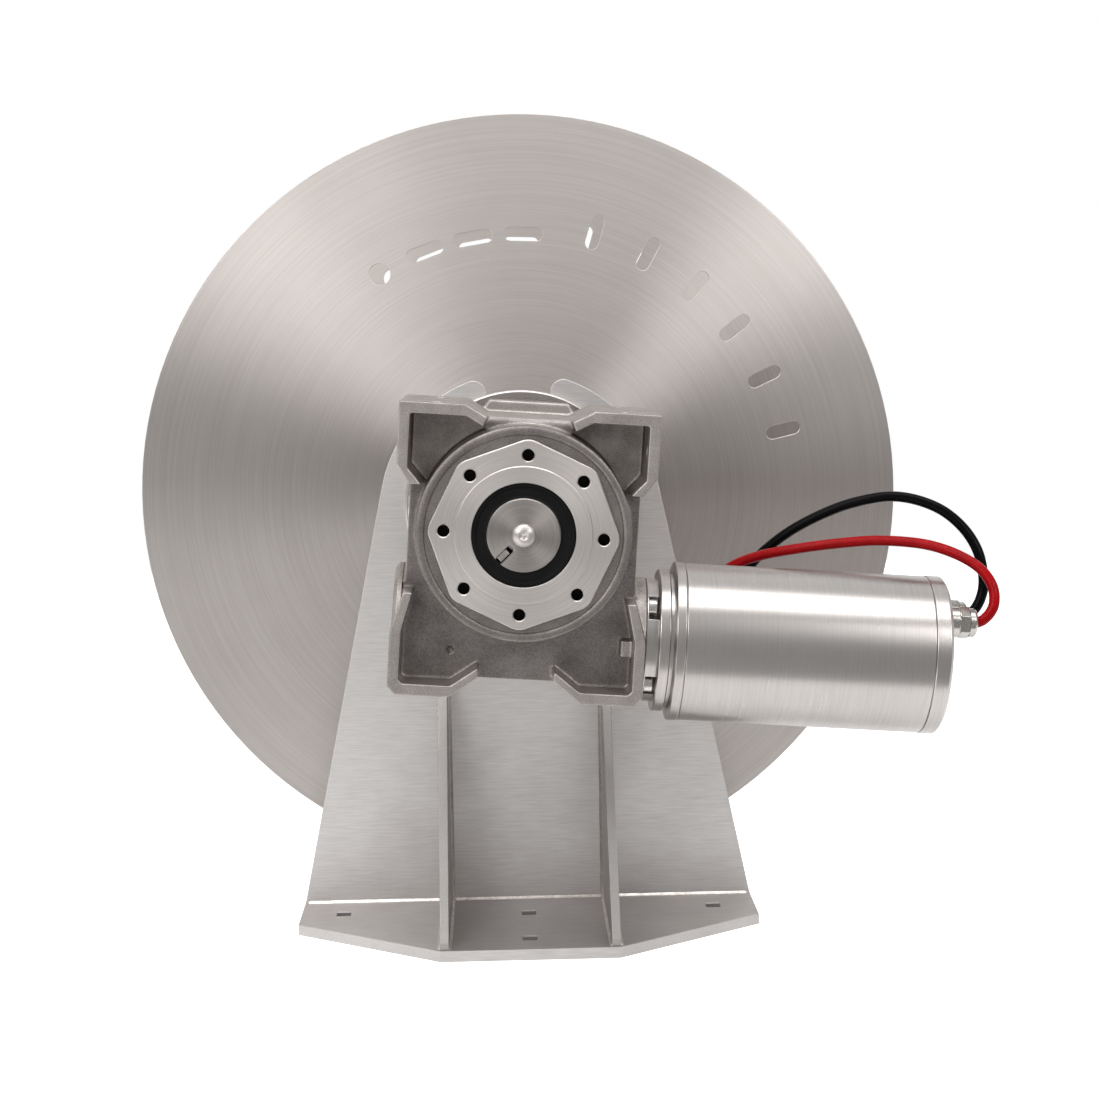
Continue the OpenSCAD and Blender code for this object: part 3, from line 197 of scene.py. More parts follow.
# The two axes that pieces were turned on
onDrum = {"centre": (0, 0, place["axisHeight"]), "turn": (quarter, 0, 0)}
onWorm = {"centre": tuple(wormFrame.translation), "turn": (0, quarter + place["gearLean"], 0)}

# What several finishes have in common
metalRings = {"metallic": 1, "grain": "ring"}
metalGrit = {"metallic": 1, "grain": "grit"}
millGrain = {"metallic": 1, "grain": "line", "spacing": 0.7, "streak": 22, "cloud": 120, "cloudShare": 0.8,
             "roughness": (0.47, 0.53), "bump": 0.06, "bumpDepth": 0.04}
beadBlast = {**metalGrit, "spacing": 1.3, "cloud": 26, "cloudShare": 0.9, "roughness": (0.44, 0.56),
             "bump": 0.28, "bumpDepth": 0.16}
softVinyl = {"ior": 1.53, "grain": "grit", "spacing": 3.0, "cloud": 25, "cloudShare": 0.8,
             "roughness": (0.22, 0.28), "bump": 0.08, "bumpDepth": 0.05}

finishes = {
    # Stainless sheet, ground in circles: fine rings and fans of light that meet at the axis
    "ringGround": finish("ringGroundStainless", {
        **metalRings, **onDrum, "spacing": 1.0, "streak": 150, "atRadius": 250, "cloud": 160,
        "cloudShare": 0.5, "dark": "#C3BCB8", "light": "#D0CAC6", "roughness": (0.42, 0.47),
        "anisotropic": 0.91, "tangent": "Y", "bump": 0.02, "bumpDepth": 0.03}),
    # Stainless plate with its mill grain along the deck: soft, even and pale
    "plateGround": finish("plateGroundStainless", {
        **millGrain, "direction": "X", "dark": "#BFBBB9", "light": "#D2CFCD"}),
    # The gussets, ground by hand along their height: the plates' steel, painted greyer as shade on their
    # sides
    "gussetGround": finish("gussetGroundStainless", {
        **millGrain, "direction": "Z", "dark": "#9F9B99", "light": "#AFACAA"}),
    # Investment-cast stainless, blasted with beads: dull, grey and evenly pitted
    "cast": finish("castStainless", {**beadBlast, "dark": "#8D8783", "light": "#B3ACA8"}),
    # The casting between its feet and on the cover, painted darker as the shade that falls deep between the
    # feet and in the cover's valley
    "castDull": finish("castStainlessDull", {**beadBlast, "dark": "#6D6865", "light": "#8C8683"}),
    # The same casting where it was faced on a lathe: pale, with soft fans of light
    "faced": finish("facedStainless", {
        **metalRings, **onDrum, "spacing": 1.0, "streak": 60, "atRadius": 60, "cloud": 60,
        "cloudShare": 0.3, "dark": "#BAB4B0", "light": "#CCC7C3", "roughness": (0.42, 0.50),
        "anisotropic": 0.6, "tangent": "Y", "bump": 0.04, "bumpDepth": 0.03}),
    # Bright turned steel of shafts, rings and hubs: glossy, with fine rings
    "turned": finish("turnedStainless", {
        **metalRings, **onDrum, "spacing": 0.9, "streak": 60, "atRadius": 25, "cloud": 40,
        "cloudShare": 0.3, "dark": "#B9B3AF", "light": "#D8D3D0", "roughness": (0.24, 0.34),
        "bump": 0.10, "bumpDepth": 0.03}),
    # Drawn stainless tube, turned fine on the motor's axis: long clear bands of light
    "canTurned": finish("fineTurnedStainless", {
        **metalRings, **onWorm, "spacing": 1.0, "streak": 60, "atRadius": 66, "cloud": 70,
        "cloudShare": 0.4, "dark": "#ABA6A3", "light": "#BAB6B3", "roughness": (0.27, 0.31),
        "anisotropic": 0.2, "tangent": "X", "bump": 0.012, "bumpDepth": 0.03}),
    # A lid turned on a lathe: greyer than the ground faces, with fans of light
    "lidTurned": finish("latheTurnedStainless", {
        **metalRings, **onDrum, "spacing": 0.9, "streak": 60, "atRadius": 25, "cloud": 40,
        "cloudShare": 0.3, "dark": "#97918D", "light": "#A9A39F", "roughness": (0.38, 0.44),
        "anisotropic": 0.8, "tangent": "Y", "bump": 0.03, "bumpDepth": 0.03}),
    # Steel painted dark in threaded holes, slots and wells: painted shade of those hollows, with some oil
    "oiled": finish("oilDarkSteel", {
        **metalGrit, "spacing": 1.0, "cloud": 6, "cloudShare": 0.6, "dark": "#211F1D", "light": "#34302D",
        "roughness": (0.5, 0.6), "bump": 0.06, "bumpDepth": 0.04}),
    # Rolled and polished fasteners: bright and smooth
    "fastener": finish("polishedFastener", {
        **metalGrit, "spacing": 1.5, "cloud": 8, "cloudShare": 0.6, "dark": "#B9B5B1", "light": "#DAD7D4",
        "roughness": (0.26, 0.34), "bump": 0.02, "bumpDepth": 0.02}),
    # Weld metal, brushed bright after welding
    "weld": finish("brushedWeld", {
        **metalGrit, "spacing": 2.2, "cloud": 9, "cloudShare": 1.0, "dark": "#BFB8B3", "light": "#DCD6D2",
        "roughness": (0.34, 0.46), "bump": 0.15, "bumpDepth": 0.08}),
    # Nickel-plated brass: warm white and glossy
    "nickel": finish("nickelPlatedBrass", {
        **metalGrit, "spacing": 2.0, "cloud": 12, "cloudShare": 0.6, "dark": "#A5A29D", "light": "#BFBCB7",
        "roughness": (0.16, 0.24), "bump": 0.05, "bumpDepth": 0.03}),
    # Nitrile rubber of an oil seal: black, matt, faintly grained
    "rubber": finish("nitrileRubber", {
        "grain": "ring", **onDrum, "ior": 1.52, "specular": 0.08, "spacing": 1.1, "streak": 40,
        "atRadius": 38, "cloud": 20, "cloudShare": 0.6, "dark": "#0B0B0B", "light": "#151515",
        "roughness": (0.48, 0.62), "bump": 0.15, "bumpDepth": 0.05}),
    # Vinyl insulation of battery cable: soft, with a low gloss
    "redVinyl": finish("redVinylInsulation", {
        **softVinyl, "specular": 0.07, "dark": "#7E0509", "light": "#960A0F"}),
    "blackVinyl": finish("blackVinylInsulation", {
        **softVinyl, "specular": 0.05, "dark": "#040405", "light": "#0A0A0B"}),
    # Nylon of a cable tie: black with a silky gloss
    "nylon": finish("blackNylon", {
        "ior": 1.53, "grain": "grit", "spacing": 1.0, "cloud": 10, "cloudShare": 0.5, "dark": "#111111",
        "light": "#1C1C1C", "roughness": (0.38, 0.50), "bump": 0.08, "bumpDepth": 0.04}),
    # Aluminium bronze of the worm wheel, cut by the hob: golden, with tool marks round it
    "bronze": finish("aluminiumBronze", {
        **metalRings, **onDrum, "spacing": 0.9, "streak": 50, "atRadius": 75, "cloud": 30,
        "cloudShare": 0.5, "dark": "#A97F3F", "light": "#C79B55", "roughness": (0.28, 0.40),
        "bump": 0.10, "bumpDepth": 0.04}),
    # Copper bars and windings, varnished: warm, with a clouded gloss
    "copper": finish("varnishedCopper", {
        **metalGrit, "spacing": 1.2, "cloud": 12, "cloudShare": 0.6, "dark": "#A9603C", "light": "#C67B52",
        "roughness": (0.25, 0.38), "bump": 0.10, "bumpDepth": 0.05}),
    # Stacked electrical sheet, blued by heat: fine edges side by side
    "laminate": finish("steelLaminate", {
        **metalRings, **onWorm, "spacing": 0.6, "streak": 80, "atRadius": 50, "cloud": 30,
        "cloudShare": 0.4, "dark": "#5F6065", "light": "#7B7C80", "roughness": (0.35, 0.48),
        "bump": 0.20, "bumpDepth": 0.05}),
    # Sintered ferrite: charcoal and dull
    "ferrite": finish("sinteredFerrite", {
        "ior": 2.0, "grain": "grit", "spacing": 0.8, "cloud": 15, "cloudShare": 0.6, "dark": "#2A2A2C",
        "light": "#3A3A3C", "roughness": (0.55, 0.68), "bump": 0.15, "bumpDepth": 0.05}),
    # Pressed carbon of the brushes: near black, with a faint sheen of graphite
    "carbon": finish("pressedCarbon", {
        "ior": 1.8, "grain": "grit", "spacing": 0.6, "cloud": 6, "cloudShare": 0.5, "dark": "#1B1B1B",
        "light": "#2A2A2A", "roughness": (0.45, 0.60), "bump": 0.12, "bumpDepth": 0.04}),
}
print("finishes made", len(finishes))

# The motor's two leads: exit and length in metres, and the points of the part's source in millimetres
leads = {
    "redLead": {
        "node": "red_lead", "finish": "redVinyl", "slot": "red_insulation", "terminal": "red_terminal",
        "exit": (0.3784, -0.435, 0.3007), "length": 0.392, "route": [
            (366, -435, 302), (379, -435, 301), (388, -435, 306), (394, -434, 316), (394, -430, 330),
            (387, -423, 343), (374, -414, 353), (355, -403, 361), (334, -393, 365), (304, -381, 366),
            (272, -371, 363), (240, -360, 358), (208, -348, 351), (184, -341, 341), (168, -337, 325),
            (160, -336, 303), (158, -336, 278), (158, -336, 252)]},
    "blackLead": {
        "node": "black_lead", "finish": "blackVinyl", "slot": "black_insulation",
        "terminal": "black_terminal", "exit": (0.3784, -0.395, 0.3007), "length": 0.402, "route": [
            (366, -395, 302), (379, -395, 301), (388, -395, 308), (394, -393, 321), (395, -391, 336),
            (391, -387, 356), (381, -381, 374), (365, -375, 389), (346, -368, 398), (325, -362, 402),
            (304, -357, 400), (276, -350, 392), (243, -343, 376), (218, -338, 358), (200, -334, 339),
            (188, -332, 316), (183, -332, 290), (182, -332, 252)]},
}
leadShape = {"radius": 0.0045, "stepsPerPoint": 8, "roundness": 6}


# A smooth line in metres through points in millimetres
def smoothLine(points, steps):
    p = [Vector(q) / 1000 for q in points]
    line = []
    for i in range(len(p) - 1):
        a, b, c, d = (p[min(max(i + n, 0), len(p) - 1)] for n in (-1, 0, 1, 2))
        for k in range(steps):
            t = k / steps
            first = (c - a) * t
            second = (2 * a - 5 * b + 4 * c - d) * t ** 2
            third = (3 * b - 3 * c + d - a) * t ** 3
            line.append(0.5 * (2 * b + first + second + third))
    return line + [p[-1]]


for name, lead in leads.items():
    line = smoothLine(lead["route"], leadShape["stepsPerPoint"])
    curve = bpy.data.curves.new(name, "CURVE")
    curve.dimensions = "3D"
    spline = curve.splines.new("POLY")
    spline.points.add(len(line) - 1)
    for point, where in zip(spline.points, line):
        point.co = (*where, 1)
    spline.use_smooth = True
    curve.bevel_depth = leadShape["radius"]
    curve.bevel_resolution = leadShape["roundness"]
    curve.use_fill_caps = True
    obj = placed(name, curve, "frame", [finishes[lead["finish"]]])
    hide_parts(lead["node"])
print("leads laid")

# What each CAD node is made of. Most of those that show are rounded or drawn anew below.
nodeFinish = {
    "plateGround": ["near_foot_plate", "near_side_plate", "far_foot_plate", "far_side_plate", "tie_tubes",
                    "drum_core"],
    # The gussets get the plates' steel with painted shade
    "gussetGround": ["near_gussets", "far_gussets"],
    "ringGround": ["near_disc", "far_disc"],
    "cast": ["far_bearing_housing", "gear_housing", "gear_front_cover", "worm_end_cap"],
    "faced": ["retaining_screw"],
    "lidTurned": ["retaining_disc", "lock_tab"],
    "oiled": ["hollow_shaft"],
    # The hollow shaft is painted dark as shade, with some oil
    "turned": ["far_bearing_outer", "far_bearing_inner", "far_bearing_cap", "drum_shaft", "near_hub",
               "far_hub", "shaft_key", "output_flange", "output_bearing_outers", "output_bearing_inners",
               "worm_shaft", "worm_bearing_outers", "worm_bearing_inners", "motor_bearing_outers",
               "motor_bearing_inners"],
    "fastener": ["far_bearing_bolts", "hub_bolts", "cover_screws", "flange_screws", "plate_bolts",
                 "oil_plugs", "adapter_screws"],
    "canTurned": ["motor_adapter", "motor_front_ring", "motor_can", "motor_rear_cap"],
    "rubber": ["front_seal", "rear_seal"],
    "bronze": ["worm_wheel_rim"],
    "laminate": ["armature"],
    "copper": ["commutator"],
    "ferrite": ["motor_magnets"],
    "carbon": ["motor_brushes"],
    "nickel": ["gland_bodies", "gland_nuts", "red_terminal", "black_terminal"],
    "nylon": ["lead_tie"],
    "redVinyl": ["red_lead"],
    "blackVinyl": ["black_lead"],
}
for key, names in nodeFinish.items():
    for name in names:
        node = frame["nodes"][name]
        node.data.materials.clear()
        node.data.materials.append(finishes[key])


# Points nearer than this, in metres, are joined
samePoint = {"copied": 2e-6, "drawn": 1e-6}
# Angles between faces, in degrees: under flat they are one face, over sharp the shading breaks, and over
# the others an edge is rounded
edgeAngles = {"flat": 0.5, "sharp": 40, "copied": 30, "drawn": 28}


def pieceName(node):
    first, *others = node.split("_")
    return first + "".join(word.capitalize() for word in others)


def shownMesh(obj):
    return bpy.data.meshes.new_from_object(obj.evaluated_get(bpy.context.evaluated_depsgraph_get()))


# Rounds the edges that turn by more than an angle, to a radius in millimetres
def softenEdges(obj, radius, angle, clamped):
    bevel = obj.modifiers.new("edges", "BEVEL")
    bevel.width = radius / 1000
    bevel.segments = 2
    bevel.limit_method = "ANGLE"
    bevel.angle_limit = math.radians(angle)
    bevel.use_clamp_overlap = clamped
    bevel.harden_normals = True


# A copy of a CAD node's mesh, as a piece that replaces the node. frameOf is the frame that it is worked in.
def copied(node, frameOf=None):
    source = frame["nodes"][node]
    made = bmesh.new()
    made.from_mesh(source.data)
    bmesh.ops.remove_doubles(made, verts=made.verts, dist=samePoint["copied"])
    bmesh.ops.dissolve_degenerate(made, edges=made.edges, dist=samePoint["copied"])
    if frameOf:
        made.transform(frameOf.inverted())
    else:  # flat faces in one piece, so that no thin triangle is left for the rounding
        bmesh.ops.dissolve_limit(made, angle_limit=math.radians(edgeAngles["flat"]), verts=made.verts,
                                 edges=made.edges)
    mesh = bpy.data.meshes.new(pieceName(node))
    made.to_mesh(mesh)
    made.free()
    if "custom_normal" in mesh.attributes:
        mesh.attributes.remove(mesh.attributes["custom_normal"])
    obj = placed(mesh.name, mesh, source["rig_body"], [source.data.materials[0]], frameOf)
    for face in mesh.polygons:
        face.use_smooth = True
    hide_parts(node)
    return obj


# Edge radii of the plates, discs and motor pieces, in millimetres
shownEdges = {
    "near_foot_plate": 0.8, "near_side_plate": 0.6, "near_gussets": 0.6, "far_foot_plate": 0.8,
    "far_side_plate": 0.6, "far_gussets": 0.6, "near_disc": 0.4, "far_disc": 0.4, "worm_end_cap": 0.6,
    "output_flange": 0.5, "motor_adapter": 0.5, "motor_front_ring": 0.4, "motor_can": 0.3,
    "motor_rear_cap": 0.5, "lock_tab": 0.3, "tie_tubes": 0.8,
}
# The motor ends a little sooner than its solids: what lies from low to high along the worm moves in by this
drawnIn = {
    "motor_can": [{"low": 0.345, "high": 0.351, "by": 0.0065}],
    "motor_rear_cap": [{"low": 0.3495, "high": 0.3515, "by": 0.0065},
                       {"low": 0.362, "high": 0.367, "by": 0.008}],
}
toWorm = wormFrame.inverted()
alongWorm = wormFrame.to_3x3() @ Vector((1, 0, 0))
for node, radius in shownEdges.items():
    obj = copied(node)
    for row in drawnIn.get(node, ()):
        for vertex in obj.data.vertices:
            if row["low"] < (toWorm @ vertex.co).x < row["high"]:
                vertex.co -= row["by"] * alongWorm
    softenEdges(obj, radius, edgeAngles["copied"], clamped=False)

# The gear unit's casting: every edge and corner is rounded, inside ones too, as the wax was. The mesh is
# worked in the unit's own frame, so its flat faces stay flat. The web between its feet has painted shade.
casting = {"voxel": 0.0011, "smoothing": 0.5, "passes": 4, "keep": 0.25, "webFront": -0.036,
           "webBack": -0.030, "facingFront": -0.7}
housing = copied("gear_housing", frameOf=gearFrame)
skin = housing.modifiers.new("skin", "REMESH")
skin.mode = "VOXEL"
skin.voxel_size = casting["voxel"]
soft = housing.modifiers.new("soft", "SMOOTH")
soft.factor = casting["smoothing"]
soft.iterations = casting["passes"]
fewer = housing.modifiers.new("fewer", "DECIMATE")
fewer.ratio = casting["keep"]
castMesh = shownMesh(housing)
housing.modifiers.clear()
sharpMesh = housing.data
housing.data = castMesh
bpy.data.meshes.remove(sharpMesh)
castMesh.name = housing.name
# The second finish is painted shade, on the front faces of the web between the feet
castMesh.materials.append(finishes["castDull"])
for face in castMesh.polygons:
    webInPaintedShade = casting["webFront"] < face.center.y < casting["webBack"]
    face.use_smooth = True
    face.material_index = int(webInPaintedShade and face.normal.y < casting["facingFront"])
print("edges rounded", len(shownEdges) + 1)


# From here to the glands, profiles and outlines are in millimetres. A profile is a closed loop of places
# along an axis, each with its radius, and is turned round the axis.
def turnedRing(made, profile, sides, toPlace):
    angles = [quarter + 2 * math.pi * k / sides for k in range(sides)]
    rows = []
    for along, r in profile:
        ring = [Vector((along, r * math.cos(a), r * math.sin(a))) for a in angles]
        rows.append([made.verts.new(toPlace @ corner) for corner in ring])
    for first, second in zip(rows, rows[1:] + rows[:1]):
        for k in range(sides):
            j = (k + 1) % sides
            made.faces.new((first[k], first[j], second[j], second[k]))


# A flat plate cut to closed outlines, with its edges chamfered
def flatPlate(made, outlines, thick, edge, toPlace):
    curve = bpy.data.curves.new("outline", "CURVE")
    curve.dimensions = "2D"
    curve.fill_mode = "BOTH"
    curve.extrude = thick / 2 - edge
    curve.bevel_depth = edge
    curve.offset = -edge
    curve.bevel_resolution = 0
    for outline in outlines:
        spline = curve.splines.new("POLY")
        spline.points.add(len(outline) - 1)
        spline.use_cyclic_u = True
        for point, (x, y) in zip(spline.points, outline):
            point.co = (x, y, 0, 1)
    obj = bpy.data.objects.new("outline", curve)
    scene.collection.objects.link(obj)
    mesh = shownMesh(obj)
    bpy.data.objects.remove(obj)
    bpy.data.curves.remove(curve)
    mesh.transform(toPlace)
    made.from_mesh(mesh)
    bpy.data.meshes.remove(mesh)


def onCircle(radius, degrees, centre=(0, 0)):
    angle = math.radians(degrees)
    return centre[0] + radius * math.cos(angle), centre[1] + radius * math.sin(angle)


def arc(radius, start, end, steps, centre=(0, 0)):
    return [onCircle(radius, start + (end - start) * k / steps, centre) for k in range(steps + 1)]


def circle(radius, sides, centre=(0, 0)):
    return arc(radius, 0, 360 - 360 / sides, sides - 1, centre)


# Shows what was drawn in place of a node. pick gives the number of a face's finish from the face's centre,
# in millimetres, and its normal, both in the frame that the piece was drawn in.
def replaced(made, node, names, drawnFrame, pick=None, edge=None):
    bmesh.ops.remove_doubles(made, verts=made.verts, dist=samePoint["drawn"])
    bmesh.ops.recalc_face_normals(made, faces=made.faces)
    mesh = bpy.data.meshes.new(pieceName(node))
    made.to_mesh(mesh)
    made.free()
    body = frame["nodes"][node]["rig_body"]
    obj = placed(mesh.name, mesh, body, [finishes[n] for n in names])
    back = drawnFrame.inverted()
    turnBack = back.to_3x3()
    for face in mesh.polygons:
        face.use_smooth = True
        if pick:
            face.material_index = pick(1000 * (back @ face.center), turnBack @ face.normal)
    mesh.set_sharp_from_angle(angle=math.radians(edgeAngles["sharp"]))
    if edge:
        softenEdges(obj, edge, edgeAngles["drawn"], clamped=True)
    else:
        even = obj.modifiers.new("even", "WEIGHTED_NORMAL")
        even.mode = "FACE_AREA_WITH_ANGLE"
        even.keep_sharp = True
    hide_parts(node)


# A face whose normal has less than this along the axis is a wall
wallTilt = 0.3
# Profiles run along the drum's axis, and outlines lie across it, facing front
millimetres = Matrix.Scale(0.001, 4)
alongAxis = gearFrame @ Matrix.Rotation(quarter, 4, "Z") @ millimetres
acrossAxis = gearFrame @ Matrix.Rotation(quarter, 4, "X") @ millimetres

# The front cover: a cast rim with a bead, a raised pilot, and the eight-sided bolting face round it. The
# wells are the room behind the tapped holes.
cover = {"rim": 88, "rimBack": 87.95, "seat": 50, "spigot": 81.45, "back": 38, "bore": 47.55, "sides": 192,
         "beadReach": 3.7, "beadRise": 1.9, "valley": 64.5, "wellOut": 71, "wellIn": 59, "wellFloor": 55,
         "face": 70, "pilot": 56.2, "pilotStep": 0.9, "seal": 42.55, "sealEdge": 0.5, "sealFloor": 58,
         "corner": 78.66, "cornerRadius": 15, "boltCircle": 65, "bolt": 4.95, "underPilot": 1.5,
         "edge": 0.9, "boltMargin": 0.2, "wellMargin": 0.5, "faceMargin": 0.1}
bead = []
for t in range(180, -1, -18):
    rise = cover["beadRise"] * math.sin(math.radians(t))
    reach = cover["beadReach"] * math.cos(math.radians(t))
    bead.append((-cover["valley"] - rise, cover["rim"] - cover["beadReach"] - reach))
coverProfile = [
    (-cover["seat"], cover["rimBack"]), *bead,
    (-cover["valley"], cover["wellOut"]), (-cover["wellFloor"], cover["wellOut"]),
    (-cover["wellFloor"], cover["wellIn"]), (-cover["valley"], cover["wellIn"]),
    (-cover["valley"], cover["pilot"]), (cover["pilotStep"] - cover["face"], cover["pilot"]),
    (-cover["face"], cover["pilot"] - cover["pilotStep"]),
    (-cover["face"], cover["seal"] + cover["sealEdge"]), (cover["sealEdge"] - cover["face"], cover["seal"]),
    (-cover["sealFloor"], cover["seal"]), (-cover["sealFloor"], cover["bore"]),
    (-cover["back"], cover["bore"]), (-cover["back"], cover["spigot"]), (-cover["seat"], cover["spigot"])]
made = bmesh.new()
turnedRing(made, coverProfile, cover["sides"], alongAxis)

toArcCentre = cover["corner"] - cover["cornerRadius"] / math.cos(math.pi / 8)
octagon = []
for angle in range(0, 360, 45):
    octagon += arc(cover["cornerRadius"], angle - 22.5, angle + 22.5, 8, onCircle(toArcCentre, angle))
bolts = [onCircle(cover["boltCircle"], angle) for angle in range(0, 360, 45)]
front = cover["face"] - cover["pilotStep"]
thick = front - cover["valley"]
faceOutlines = [octagon, circle(cover["pilot"] - cover["underPilot"], 144)]
faceOutlines += [circle(cover["bolt"], 36, bolt) for bolt in bolts]
flatPlate(made, faceOutlines, thick, cover["edge"],
          acrossAxis @ Matrix.Translation((0, 0, front - thick / 2)))


# 0 the casting with painted shade, 1 the faced front, 2 the holes and wells painted dark as shade, with
# some oil
def coverFinish(at, normal):
    out = math.hypot(at.x, at.z)
    margin = cover["wellMargin"]
    atWell = cover["wellIn"] - margin < out < cover["wellOut"] + margin
    atBolt = any(math.hypot(at.x - x, at.z - y) < cover["bolt"] + cover["boltMargin"] for x, y in bolts)
    if atWell and at.y > margin - cover["valley"] or atBolt and abs(normal.y) < wallTilt:
        return 2
    return int(at.y < -cover["valley"] - cover["faceMargin"] and out < cover["corner"])


replaced(made, "gear_front_cover", ["castDull", "faced", "oiled"], gearFrame, coverFinish)

# The retaining disc, with the slot of the lock tab and the round hole for its screw
lid = {"radius": 30, "thick": 4.5, "front": 70.5, "hole": 5.1, "edge": 0.9, "tabAngle": 228,
       "slotIn": 16.4, "slotLow": -2.4, "slotHigh": 3.2, "rimMargin": 0.7}
slotRadius = (lid["slotHigh"] - lid["slotLow"]) / 2
slotEnd = arc(slotRadius, 270, 90, 14, (lid["slotIn"], (lid["slotLow"] + lid["slotHigh"]) / 2))
first, last = (math.degrees(math.asin(y / lid["radius"])) for y in (lid["slotHigh"], lid["slotLow"]))
toTab = Matrix.Rotation(math.radians(lid["tabAngle"]), 2)
rimAndSlot = arc(lid["radius"], first, 360 + last, 120) + slotEnd
rimAndSlot = [tuple(toTab @ Vector(corner)) for corner in rimAndSlot]


# 0 the turned lid, 1 the walls of slot and hole, painted dark as shade
def lidFinish(at, normal):
    return int(abs(normal.y) < wallTilt and math.hypot(at.x, at.z) < lid["radius"] - lid["rimMargin"])


made = bmesh.new()
flatPlate(made, [rimAndSlot, circle(lid["hole"], 36)], lid["thick"], lid["edge"],
          acrossAxis @ Matrix.Translation((0, 0, lid["front"] - lid["thick"] / 2)))
replaced(made, "retaining_disc", ["lidTurned", "oiled"], gearFrame, lidFinish)

# The screw of the retaining disc: a turned dome with a round recess, and its shank
screw = {"shank": 5, "core": 0.1, "sides": 64, "dome": [
    (0, 9.3), (-0.6, 9.5), (-1.6, 9.3), (-2.6, 8.7), (-3.5, 7.7), (-4.2, 6.4), (-4.7, 4.9), (-4.8, 3.9),
    (-4.4, 3.3), (-3.9, 2.6), (-3.8, 1.9), (-4.2, 1.3), (-4.3, 0.1)]}
headAt = -lid["front"]
toGear = gearFrame.inverted()
tip = 1000 * max((toGear @ vertex.co).y for vertex in frame["nodes"]["retaining_screw"].data.vertices)
screwProfile = [(headAt + along, r) for along, r in screw["dome"]]
screwProfile += [(tip, screw["core"]), (tip, screw["shank"]), (headAt, screw["shank"])]
made = bmesh.new()
turnedRing(made, screwProfile, screw["sides"], alongAxis)
replaced(made, "retaining_screw", ["faced"], gearFrame)

# The glands: a round collar, the hexagon and the dome nut. Places run along the worm's axis.
gland = {"sideways": (-20, 20), "up": 32, "bore": 5.1, "collar": 12.9, "corner": 13.5, "groove": 11.6,
         "nut": 12.2, "nutShoulder": 11.4, "nutMouth": 9.6, "start": 357.6, "collarEnd": 368.6,
         "hexStart": 369.6, "grooveEnd": 370.6, "hexEnd": 377.6, "domeStart": 381.6, "shoulder": 383,
         "end": 384, "sides": 64}
collarLoop = [("start", "bore"), ("start", "collar"), ("collarEnd", "collar"), ("collarEnd", "groove"),
              ("grooveEnd", "groove"), ("grooveEnd", "bore")]
hexLoop = [("hexStart", "bore"), ("hexStart", "corner"), ("hexEnd", "corner"), ("hexEnd", "bore")]
nutLoop = [("hexEnd", "bore"), ("hexEnd", "nut"), ("domeStart", "nut"), ("shoulder", "nutShoulder"),
           ("end", "nutMouth"), ("end", "bore")]
bodies = bmesh.new()
nuts = bmesh.new()
for v in gland["sideways"]:
    axis = wormFrame @ millimetres @ Matrix.Translation((0, v, gland["up"]))
    for made, loop, sides in ((bodies, collarLoop, gland["sides"]), (bodies, hexLoop, 6),
                              (nuts, nutLoop, gland["sides"])):
        turnedRing(made, [(gland[along], gland[r]) for along, r in loop], sides, axis)
replaced(bodies, "gland_bodies", ["nickel"], wormFrame, edge=0.5)
replaced(nuts, "gland_nuts", ["nickel"], wormFrame, edge=0.4)
print("cover, disc, screw and glands made")

# Weld beads, in metres: a fillet with ripples, laid into the corner of two plates. It sinks a little into
# them, tapers at both ends, and wanders a little in size.
weldBead = {"leg": 0.0026, "ripple": 0.00012, "pitch": 0.0024, "step": 0.0010, "sink": 0.0003,
            "bulge": 0.20, "taperFrom": 0.35, "taperLength": 0.004, "drift": 0.10,
            "driftScale": (45, 31, 17), "facets": 6}


# From start to end in the corner whose two free directions are outA and outB
def layWeld(name, body, start, end, outA, outB):
    start, end, outA, outB = (Vector(v) for v in (start, end, outA, outB))
    length = (end - start).length
    count = max(4, round(length / weldBead["step"]))
    facets = weldBead["facets"]
    made = bmesh.new()
    rows = []
    for i in range(count + 1):
        t = i / count
        along = t * length
        centre = start.lerp(end, t)
        taper = min(1.0, weldBead["taperFrom"] + min(along, length - along) / weldBead["taperLength"])
        wave = weldBead["ripple"] * abs(math.sin(math.pi * along / weldBead["pitch"]))
        spot = Vector((along, start.x, start.y)) * Vector(weldBead["driftScale"])
        leg = weldBead["leg"] * taper * (1 + weldBead["drift"] * noise.noise(spot))
        row = [centre - weldBead["sink"] * (outA + outB)]
        for k in range(facets + 1):
            a = quarter * k / facets
            bulge = (leg * weldBead["bulge"] + wave) * math.sin(2 * a)
            alongA = leg * (1 - math.sin(a)) + bulge
            alongB = leg * (1 - math.cos(a)) + bulge
            row.append(centre + outA * alongA + outB * alongB)
        rows.append([made.verts.new(p) for p in row])
    for first, second in zip(rows, rows[1:]):
        for k in range(facets + 2):
            j = (k + 1) % (facets + 2)
            made.faces.new((first[k], second[k], second[j], first[j]))
    made.faces.new(rows[0])
    made.faces.new(reversed(rows[-1]))
    bmesh.ops.recalc_face_normals(made, faces=made.faces)
    mesh = bpy.data.meshes.new(name)
    made.to_mesh(mesh)
    made.free()
    for face in mesh.polygons:
        face.use_smooth = True
    placed(name, mesh, body, [finishes["weld"]])


